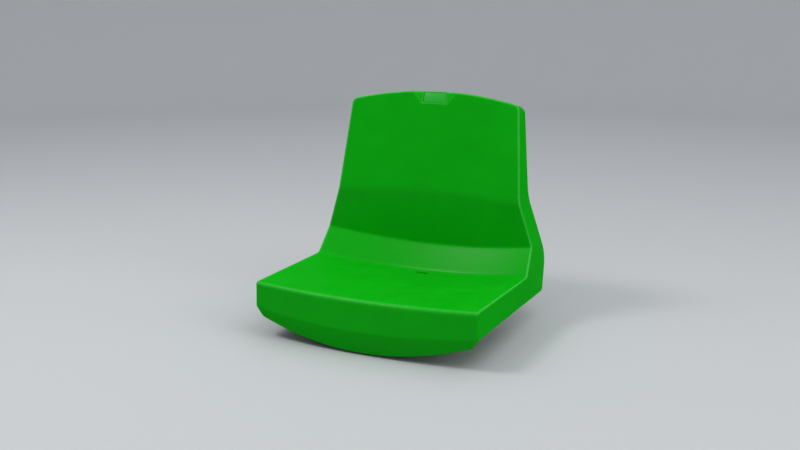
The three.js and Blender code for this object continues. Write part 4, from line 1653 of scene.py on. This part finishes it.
class SharedEffects:
    """The node groups of the shared effects, each built once and placed with its own values.

    A span holds the two values between which a mask rises. Detail is that of noise.
    """

    whole_span: Span = (0.0, 1.0)
    grain_detail: float = 2.0
    cloud_detail: float = 4.0
    cloud_span: Span = (0.32, 0.68)
    edge_samples: int = 6
    edge_span: Span = (0.08, 1.0)
    # Edges fade out as their normal turns down, which keeps the shell's painted highlight on edges that
    # face up.
    facing_up_span: Span = (-0.5, -0.05)
    edge_patch_detail: float = 3.0
    edge_patch_span: Span = (0.35, 0.6)
    least_edge_patch: float = 0.65
    dust_steepness: float = 2.0
    dust_detail: float = 6.0
    dust_span: Span = (0.4, 0.75)
    scuff_turns: tuple[Triple, ...] = ((0.35, 0.1, 0.25), (0.9, 0.3, -0.5))
    scuff_detail: float = 1.0
    scuff_middle: float = 0.5
    scuff_patch_detail: float = 2.0
    scuff_span: Span = (0.5, 0.7)

    def __init__(self) -> None:
        """Builds every group."""
        self.groups = {
            Effect.GRAIN: self._grain(),
            Effect.EDGES: self._edges(),
            Effect.WEAR_AND_LIGHT: self._wear_and_painted_light(),
            Effect.DUST: self._dust(),
            Effect.SCUFFS: self._scuffs(),
        }

    @staticmethod
    def _begin(
        effect: Effect,
        sizes: dict[str, float],
        results: list[str],
    ) -> tuple[Wiring, dict[str, Socket], bpy.types.Node]:
        """Starts a group with a vector input, an input for each size and an output for each result.

        Args:
            effect: which effect it is for.
            sizes: name and first value of each input.
            results: name of each output.

        Returns:
            Its wiring, its inputs by name, and the node that takes its results.
        """
        tree = bpy.data.node_groups.new(effect.value, "ShaderNodeTree")
        tree.interface.new_socket("Vector", in_out="INPUT", socket_type="NodeSocketVector")
        for name, value in sizes.items():
            socket = tree.interface.new_socket(name, in_out="INPUT", socket_type="NodeSocketFloat")
            socket.default_value = value
        for name in results:
            tree.interface.new_socket(name, in_out="OUTPUT", socket_type="NodeSocketFloat")
        entry = tree.nodes.new("NodeGroupInput")
        return Wiring(tree), dict(entry.outputs.items()), tree.nodes.new("NodeGroupOutput")

    def _grain(self) -> NodeTree:
        """Makes fine surface grain, and broad clouds for slow changes of tone and gloss.

        Returns:
            The group.
        """
        sizes = {"Grain Size": 0.0007, "Cloud Size": 0.09}
        wiring, given, out = self._begin(Effect.GRAIN, sizes, ["Height", "Clouds"])
        grain = wiring.noise(given["Vector"], given["Grain Size"], self.grain_detail)
        clouds = wiring.noise(given["Vector"], given["Cloud Size"], self.cloud_detail)
        wiring.join(grain, out.inputs["Height"])
        wiring.join(wiring.ramp(clouds, self.cloud_span), out.inputs["Clouds"])
        return wiring.tree

    def _edges(self) -> NodeTree:
        """Finds sharp edges: 1 - a . b for the normal a and the normal b averaged over a radius.

        Returns:
            The group.
        """
        sizes = {"Radius": 0.0008, "Turn": 0.10}
        wiring, given, out = self._begin(Effect.EDGES, sizes, ["Edge"])
        soft = wiring.add("Bevel", {"Radius": given["Radius"]}, samples=self.edge_samples)
        own = wiring.add("NewGeometry").outputs["Normal"]
        likeness = wiring.vector("DOT_PRODUCT", {0: soft.outputs[0], 1: own})
        turned = wiring.calc("SUBTRACT", 1.0, likeness.outputs["Value"])
        share = wiring.calc("DIVIDE", turned, given["Turn"])
        wiring.join(wiring.ramp(share, self.edge_span), out.inputs["Edge"])
        return wiring.tree

    def _wear_and_painted_light(self) -> NodeTree:
        """Makes the edge mask, broken up by noise, less and less where they face down: worn edges on
        metal, a painted highlight on the shell's edges and a painted shade on the plate's rim.

        Returns:
            The group.
        """
        sizes = {"Edge": 0.0, "Patch Size": 0.012}
        wiring, given, out = self._begin(Effect.WEAR_AND_LIGHT, sizes, ["Mask"])
        normal = wiring.add("NewGeometry").outputs["Normal"]
        height = wiring.add("SeparateXYZ", {0: normal}).outputs["Z"]
        facing_up = wiring.ramp(height, self.facing_up_span)
        noise = wiring.noise(given["Vector"], given["Patch Size"], self.edge_patch_detail)
        patches = wiring.ramp(noise, self.edge_patch_span, self.least_edge_patch)
        wiring.join(wiring.product(given["Edge"], facing_up, patches), out.inputs["Mask"])
        return wiring.tree

    def _dust(self) -> NodeTree:
        """Settles dust on what faces up: a power of the normal's height, in patches.

        Returns:
            The group.
        """
        sizes = {"Patch Size": 0.03, "Amount": 0.5}
        wiring, given, out = self._begin(Effect.DUST, sizes, ["Mask"])
        normal = wiring.add("NewGeometry").outputs["Normal"]
        height = wiring.add("SeparateXYZ", {0: normal}).outputs["Z"]
        up = wiring.calc("POWER", wiring.ramp(height, self.whole_span), self.dust_steepness)
        noise = wiring.noise(given["Vector"], given["Patch Size"], self.dust_detail)
        patches = wiring.ramp(noise, self.dust_span)
        wiring.join(wiring.product(up, patches, given["Amount"]), out.inputs["Mask"])
        return wiring.tree

    def _scuffs(self) -> NodeTree:
        """Draws light scuffs: thin lines where long narrow noise passes its middle, in patches.

        Two sets of lines cross, each drawn out along its own way.

        Returns:
            The group.
        """
        sizes = {"Length": 0.05, "Width": 0.0012, "Patch Size": 0.06, "Fineness": 0.02}
        wiring, given, out = self._begin(Effect.SCUFFS, sizes, ["Mask"])
        narrow = wiring.calc("DIVIDE", 1.0, given["Width"])
        long = wiring.calc("DIVIDE", 1.0, given["Length"])
        scale = wiring.add("CombineXYZ", {0: narrow, 1: long, 2: narrow}).outputs[0]
        total: Feed = 0.0
        for turn in self.scuff_turns:
            inputs = {"Vector": given["Vector"], "Rotation": turn}
            turned = wiring.add("VectorRotate", inputs, rotation_type="EULER_XYZ").outputs[0]
            drawn = wiring.vector("MULTIPLY", {0: turned, 1: scale}).outputs[0]
            inputs = {"Vector": drawn, "Scale": 1.0, "Detail": self.scuff_detail}
            noise = wiring.add("TexNoise", inputs).outputs[0]
            off_middle = wiring.calc("ABSOLUTE", wiring.calc("SUBTRACT", noise, self.scuff_middle))
            line = wiring.calc("SUBTRACT", 1.0, wiring.calc("DIVIDE", off_middle, given["Fineness"]))
            total = wiring.calc("ADD", total, wiring.ramp(line, self.whole_span))
        noise = wiring.noise(given["Vector"], given["Patch Size"], self.scuff_patch_detail)
        patches = wiring.ramp(noise, self.scuff_span)
        wiring.join(wiring.product(total, patches), out.inputs["Mask"])
        return wiring.tree


class Recipe(Wiring):
    """Wiring of one material, with its shader and the shared effects."""

    def __init__(self, name: str, effects: SharedEffects) -> None:
        """Starts the material.

        Args:
            name: its name.
            effects: the shared effects.
        """
        self.material = bpy.data.materials.new(name)
        self.material.use_nodes = True
        super().__init__(self.material.node_tree)
        self.effects = effects
        self.place = self.add("TexCoord").outputs["Object"]
        self.shader = self.tree.nodes["Principled BSDF"]

    def effect(self, effect: Effect, inputs: dict[str, Feed]) -> dict[str, Socket]:
        """Places a shared effect on Object coordinates.

        Args:
            effect: which effect.
            inputs: a value or a socket for its other inputs.

        Returns:
            The effect's results by name.
        """
        inputs = {"Vector": self.place, **inputs}
        node = self.add("Group", inputs, node_tree=self.effects.groups[effect])
        return dict(node.outputs.items())

    def mask(self, effect: Effect, inputs: dict[str, Feed]) -> Socket:
        """Mask of a shared effect."""
        return self.effect(effect, inputs)["Mask"]

    def edge_mask(self, radius: float) -> Socket:
        """Mask of edges, found where the normal turns within a radius: worn edges on metal, a painted
        shade on the plate's rim.
        """
        return self.mask(Effect.WEAR_AND_LIGHT, {"Edge": self.effect(Effect.EDGES, {"Radius": radius})["Edge"]})

    def finish(self, tone: Socket, rough: Socket, height: Socket, relief: float) -> Material:
        """Joins colour, roughness and relief to the shader.

        Args:
            tone: the colour.
            rough: the roughness.
            height: height field of the relief.
            relief: how high its full range is.

        Returns:
            The finished material.
        """
        self.join(tone, self.shader.inputs["Base Color"])
        self.join(rough, self.shader.inputs["Roughness"])
        bump = self.add("Bump", {"Height": height, "Distance": relief, "Strength": 1.0})
        self.join(bump.outputs[0], self.shader.inputs["Normal"])
        return self.material


@dataclass(frozen=True)
class MouldedPlastic:
    """Satin moulded plastic with a fine mould texture, painted light along its edges, faint scuffs and
    light dust.
    """

    name: str

    # Colours: the plastic, what its slow changes run to, the painted edge light with scuffs, and dust.
    colour: Colour = (0.0030, 0.37, 0.0052)
    cloud: Colour = (0.0026, 0.34, 0.0045)
    # Paler, greyer green painted on the shell's roundings and creases as a highlight that stands also for
    # wear; scuffs take it too.
    wear_and_painted_light: Colour = (0.055, 0.47, 0.06)
    dust: Colour = (0.20, 0.24, 0.17)

    # Middle roughness, how far it drifts, what full dust adds to it and the full edge mask takes from it.
    roughness: float = 0.22
    roughness_drift: float = 0.03
    dust_roughness: float = 1.5
    wear_polish: float = 0.08

    # Cover of the glossy skin, the share by which it drifts, and its cover under dust or scuffs.
    gloss: float = 0.10
    gloss_drift: float = 0.15
    dull_gloss: float = 0.02

    # Slants over which the skin fades to a share of itself, and over which another share returns.
    slant_blend: float = 0.5
    slant_span: Span = (0.25, 0.55)
    slant_gloss: float = 0.3
    grazing_span: Span = (0.65, 0.78)
    grazing_gloss: float = 0.25

    # Mould texture.
    grain_size: float = 0.0008
    grain_height: float = 0.00002

    # Reach of the edge mask, or 0 where the mesh holds the painted highlight, and how much the painted
    # edge light, dust and scuffs show.
    edge_radius: float = 0.0
    painted_edge_share: float = 0.85
    dust_share: float = 0.012
    scuff_share: float = 0.12

    def build(self, effects: SharedEffects) -> Material:
        """Makes the material.

        Args:
            effects: the shared effects.

        Returns:
            The material.
        """
        recipe = Recipe(self.name, effects)
        grain = recipe.effect(Effect.GRAIN, {"Grain Size": self.grain_size})
        # Edge mask: on the plate, where the normal turns, for a painted shade along its rim; on the
        # shell, the painted highlight held by its mesh.
        if self.edge_radius:
            edge_mask = recipe.edge_mask(self.edge_radius)
        else:
            edge = recipe.add("Attribute", attribute_name=EDGE_HIGHLIGHT).outputs["Fac"]
            edge_mask = recipe.mask(Effect.WEAR_AND_LIGHT, {"Edge": edge})
        dust = recipe.mask(Effect.DUST, {"Amount": self.dust_share})
        scuffs = recipe.mask(Effect.SCUFFS, {})
        faint = recipe.product(scuffs, self.scuff_share)
        # The edge mask paints the edge colour on: a highlight on the shell, a shade on the plate.
        worn = recipe.product(edge_mask, self.painted_edge_share)
        tone = recipe.blend(grain["Clouds"], self.colour, self.cloud)
        tone = recipe.blend(recipe.calc("MAXIMUM", worn, faint), tone, self.wear_and_painted_light)
        tone = recipe.blend(dust, tone, self.dust)
        smooth = self.roughness - self.roughness_drift
        rough = recipe.between(grain["Clouds"], smooth, self.roughness + self.roughness_drift)
        rough = recipe.calc("ADD", rough, recipe.product(dust, self.dust_roughness))
        rough = recipe.calc("SUBTRACT", rough, recipe.product(edge_mask, self.wear_polish))
        rough = recipe.calc("ADD", rough, faint)
        self._add_skin(recipe, grain["Clouds"], recipe.calc("ADD", dust, scuffs))
        height = recipe.calc("SUBTRACT", grain["Height"], scuffs)
        return recipe.finish(tone, rough, height, self.grain_height)

    def _add_skin(self, recipe: Recipe, clouds: Socket, dulled: Socket) -> None:
        """Adds the thin glossy skin, which shows less and less where it is seen at a slant.

        Args:
            recipe: wiring of the material.
            clouds: mask of the slow changes.
            dulled: mask of dust and scuffs.
        """
        low = self.gloss * (1 - self.gloss_drift)
        skin = recipe.between(clouds, low, self.gloss * (1 + self.gloss_drift))
        skin = recipe.between(recipe.calc("MINIMUM", dulled, 1.0), skin, self.dull_gloss)
        slant = recipe.add("LayerWeight", {"Blend": self.slant_blend}).outputs["Facing"]
        left = recipe.ramp(slant, self.slant_span, 1.0, self.slant_gloss)
        left = recipe.calc("ADD", left, recipe.ramp(slant, self.grazing_span, 0.0, self.grazing_gloss))
        recipe.join(recipe.product(skin, left), recipe.shader.inputs["Coat Weight"])
        recipe.shader.inputs["Coat Roughness"].default_value = self.roughness
        recipe.shader.inputs["Specular IOR Level"].default_value = 0.0


@dataclass(frozen=True)
class GalvanisedSteel:
    """Hot-dip galvanised steel: dull zinc crystals, each with its own tone and gloss."""

    name: str

    # Colours: the brightest crystals, worn edges and scuffs, the dullest crystals, and dust.
    light: Colour = (0.62, 0.64, 0.66)
    dark: Colour = (0.40, 0.42, 0.44)
    stain: Colour = (0.55, 0.55, 0.52)

    # Size of the crystals, and detail of the noise that bends their edges.
    spangle_size: float = 0.007
    spangle_detail: float = 2.0

    # Shares of a tone: a crystal's own, the distance to its middle, then that of the slow changes.
    crystal_share: float = 0.65
    frost_share: float = 0.35
    cloud_share: float = 0.25

    # Roughness of the glossiest crystals, of the dullest ones and of full dust.
    smooth: float = 0.36
    rough: float = 0.58
    dusty: float = 0.8

    # Fine grain, slow changes, worn edges, dust, scuffs, and height of the coating's unevenness.
    grain_size: float = 0.0012
    cloud_size: float = 0.04
    edge_radius: float = 0.001
    dust_share: float = 0.5
    scuff_length: float = 0.03
    relief: float = 0.00006

    def build(self, effects: SharedEffects) -> Material:
        """Makes the material.

        Args:
            effects: the shared effects.

        Returns:
            The material.
        """
        recipe = Recipe(self.name, effects)
        scale = 1 / self.spangle_size
        inputs = {"Vector": recipe.place, "Scale": scale, "Detail": self.spangle_detail}
        wobble = recipe.add("TexNoise", inputs).outputs[1]
        shift = recipe.vector("SCALE", {0: wobble, "Scale": self.spangle_size / 2}).outputs[0]
        bent = recipe.vector("ADD", {0: recipe.place, 1: shift}).outputs[0]
        cells = recipe.add("TexVoronoi", {"Vector": bent, "Scale": scale}).outputs
        own_tone, own_gloss, own_height = recipe.add("SeparateColor", {0: cells["Color"]}).outputs
        sizes = {"Grain Size": self.grain_size, "Cloud Size": self.cloud_size}
        grain = recipe.effect(Effect.GRAIN, sizes)
        edge_mask = recipe.edge_mask(self.edge_radius)
        dust = recipe.mask(Effect.DUST, {"Amount": self.dust_share})
        scuffs = recipe.mask(Effect.SCUFFS, {"Length": self.scuff_length})
        frost = recipe.product(cells["Distance"], self.frost_share)
        share = recipe.calc("ADD", recipe.product(own_tone, self.crystal_share), frost)
        share = recipe.between(self.cloud_share, share, grain["Clouds"])
        tone = recipe.blend(share, self.dark, self.light)
        tone = recipe.blend(recipe.calc("MAXIMUM", edge_mask, scuffs), tone, self.light)
        tone = recipe.blend(dust, tone, self.stain)
        rough = recipe.between(own_gloss, self.smooth, self.rough)
        rough = recipe.between(dust, rough, self.dusty)
        recipe.shader.inputs["Metallic"].default_value = 1.0
        height = recipe.calc("ADD", grain["Height"], own_height)
        return recipe.finish(tone, rough, height, self.relief)


@dataclass(frozen=True)
class MachinedMetal:
    """Turned or plated metal with fine tool marks and a faint change of hue."""

    name: str

    # Its main colour, the colour that its hue drifts to, and that of rubbed edges.
    first: Colour
    second: Colour
    worn: Colour

    # Middle roughness, how far it drifts below and above that, and the roughness of full dust.
    roughness: float
    smoother: float = 0.05
    rougher: float = 0.07
    dusty: float = 0.8

    # Dust, slow changes and rubbed edges.
    dust_share: float = 0.3
    cloud_size: float = 0.006
    edge_radius: float = 0.0005

    # Tool marks: spacing, unevenness and its detail, height, and bands that the texture draws.
    mark_size: float = 0.0004
    mark_bend: float = 1.5
    mark_detail: float = 2.0
    mark_height: float = 0.000008
    bands: int = 20

    def build(self, effects: SharedEffects) -> Material:
        """Makes the material.

        The wave texture draws its bands over a length of 1, so its scale is 1 / (bands * spacing).

        Args:
            effects: the shared effects.

        Returns:
            The material.
        """
        recipe = Recipe(self.name, effects)
        sizes = {"Grain Size": self.mark_size, "Cloud Size": self.cloud_size}
        grain = recipe.effect(Effect.GRAIN, sizes)
        edge_mask = recipe.edge_mask(self.edge_radius)
        dust = recipe.mask(Effect.DUST, {"Amount": self.dust_share})
        inputs = {
            "Vector": recipe.place,
            "Scale": 1 / (self.bands * self.mark_size),
            "Distortion": self.mark_bend,
            "Detail": self.mark_detail,
        }
        marks = recipe.add("TexWave", inputs, bands_direction="Z").outputs["Fac"]
        tone = recipe.blend(grain["Clouds"], self.first, self.second)
        tone = recipe.blend(edge_mask, tone, self.worn)
        low = self.roughness - self.smoother
        rough = recipe.between(grain["Clouds"], low, self.roughness + self.rougher)
        rough = recipe.between(dust, rough, self.dusty)
        recipe.shader.inputs["Metallic"].default_value = 1.0
        height = recipe.calc("ADD", grain["Height"], marks)
        return recipe.finish(tone, rough, height, self.mark_height)


def all_finishes() -> dict[Slot, Material]:
    """Makes every material of the seat with one set of shared effects.

    Returns:
        The materials by their slots.
    """
    plate = MouldedPlastic(
        "green_plate_plastic",
        # A paler, greyer green than the shell's: painted sheen for the light that the tilted pad catches.
        colour=(0.027, 0.385, 0.037),
        cloud=(0.025, 0.37, 0.034),
        # Darker green along the plate's rim: painted shade where it sits in its recess.
        wear_and_painted_light=(0.001, 0.16, 0.004),
        gloss=0.07,
        edge_radius=0.0009,
        grain_size=0.0005,
        grain_height=0.000008,
    )
    zinc = MachinedMetal(
        "zinc_plate",
        first=(0.66, 0.69, 0.73),
        second=(0.72, 0.70, 0.62),
        worn=(0.8, 0.8, 0.8),
        roughness=0.30,
    )
    brass = MachinedMetal(
        "turned_brass",
        first=(0.68, 0.50, 0.24),
        second=(0.52, 0.36, 0.16),
        worn=(0.80, 0.62, 0.32),
        roughness=0.28,
    )
    finishes = {
        Slot.SHELL: MouldedPlastic("green_moulded_plastic"),
        Slot.PLATE: plate,
        Slot.GALVANISED: GalvanisedSteel("galvanised_steel"),
        Slot.ZINC: zinc,
        Slot.BRASS: brass,
    }
    effects = SharedEffects()
    return {slot: finish.build(effects) for slot, finish in finishes.items()}


# The stage


@dataclass(frozen=True)
class AreaLight:
    """A soft square light: its name, place, length of its sides and power in watts."""

    name: str
    place: Triple
    size: float
    power: float

    def build(self, aim: Triple) -> None:
        """Puts the light into the scene.

        Args:
            aim: where it points.
        """
        data = bpy.data.lights.new(self.name, "AREA")
        data.shape = "SQUARE"
        data.size = self.size
        data.energy = self.power
        lamp = new_object(self.name, data)
        lamp.location = self.place
        way = Vector(aim) - Vector(self.place)
        lamp.rotation_euler = way.to_track_quat("-Z", "Y").to_euler()


@dataclass(frozen=True)
class Studio:
    """Camera, soft lights and a pale round floor that sweeps up into a wall all round."""

    azimuth: float = math.radians(25.01)
    elevation: float = math.radians(13.15)
    lens: float = 43.12
    sensor: float = 36.0
    farthest: float = 100.0
    eye: Triple = (0.7671, -1.65616, 0.6332)
    floor_radius: float = 4.0
    sweep_radius: float = 2.0
    wall_height: float = 5.0
    sweep_steps: int = 24
    floor_sides: int = 128
    floor_colour: Colour = (0.48, 0.485, 0.49)
    floor_roughness: float = 0.8
    surround_colour: Colour = (0.80, 0.84, 0.88)
    surround_strength: float = 1.18
    aim: Triple = (0, 0, 0.15)
    lights: tuple[AreaLight, ...] = (
        AreaLight("key", (-1.20, -1.10, 2.42), size=0.6, power=18.5),
        AreaLight("key_side", (-1.51, -0.98, 2.29), size=0.6, power=9.5),
        AreaLight("high_right", (1.41, -0.56, 2.52), size=1.6, power=14.5),
        AreaLight("side", (3.24, -0.42, 1.65), size=1.8, power=29),
    )

    def build_camera(self) -> None:
        """Sets the camera at the photograph's angle."""
        data = bpy.data.cameras.new("camera")
        data.sensor_width = self.sensor
        data.lens = self.lens
        data.clip_end = self.farthest
        camera = new_object("camera", data)
        camera.location = self.eye
        camera.rotation_euler = (math.pi / 2 - self.elevation, 0, self.azimuth)
        bpy.context.scene.camera = camera

    def floor_material(self) -> Material:
        """Makes the plain material of the floor.

        Returns:
            The material.
        """
        material = bpy.data.materials.new("floor")
        material.use_nodes = True
        shader = material.node_tree.nodes["Principled BSDF"]
        shader.inputs["Base Color"].default_value = (*self.floor_colour, 1)
        shader.inputs["Roughness"].default_value = self.floor_roughness
        return material

    def build_floor(self) -> None:
        """Makes the floor: a profile of radius and height, flat and then a quarter round, turned."""
        arc = quarter_round(self.sweep_radius, self.sweep_steps, -math.pi / 2, 1)
        arc += (self.floor_radius, self.sweep_radius)
        top = [[self.floor_radius + self.sweep_radius, self.wall_height]]
        rings = revolved(np.vstack([arc, top]), self.floor_sides)
        index = ring_index(rings)
        faces = [index[:1], grid_faces(index, wrap_columns=True)[:, ::-1]]
        data = Surface(rings.reshape(-1, 3), faces).mesh("floor")
        data.materials.append(self.floor_material())
        data.shade_smooth()
        floor = new_object("floor", data)

    def build_lights(self) -> None:
        """Sets up soft lights and a dim even surround."""
        for light in self.lights:
            light.build(self.aim)
        world = bpy.data.worlds.new("surround")
        world.use_nodes = True
        background = world.node_tree.nodes["Background"]
        background.inputs["Color"].default_value = (*self.surround_colour, 1)
        background.inputs["Strength"].default_value = self.surround_strength
        bpy.context.scene.world = world


def main() -> None:
    """Builds the stage and the seat, piece by piece."""
    logging.basicConfig(level=logging.INFO, format="%(name)s: %(message)s")
    bpy.context.scene.view_settings.view_transform = "Standard"
    studio = Studio()
    studio.build_camera()
    studio.build_lights()
    studio.build_floor()
    finishes = all_finishes()
    shell = SeatShell()
    shell.build(finishes[Slot.SHELL])
    NumberPlate(shell).build(finishes[Slot.PLATE])
    for side in (-1, 1):
        SteelFoot(shell, side).build(finishes[Slot.GALVANISED])
    for hand in ("left", "right"):
        for rank in ("front", "rear"):
            fixings = Fixings(f"{hand}_{rank}", finishes)
            fixings.build_insert()
            fixings.build_bolt()
            fixings.build_washer()
            fixings.build_lock_washer()


if __name__ == "__main__":
    main()
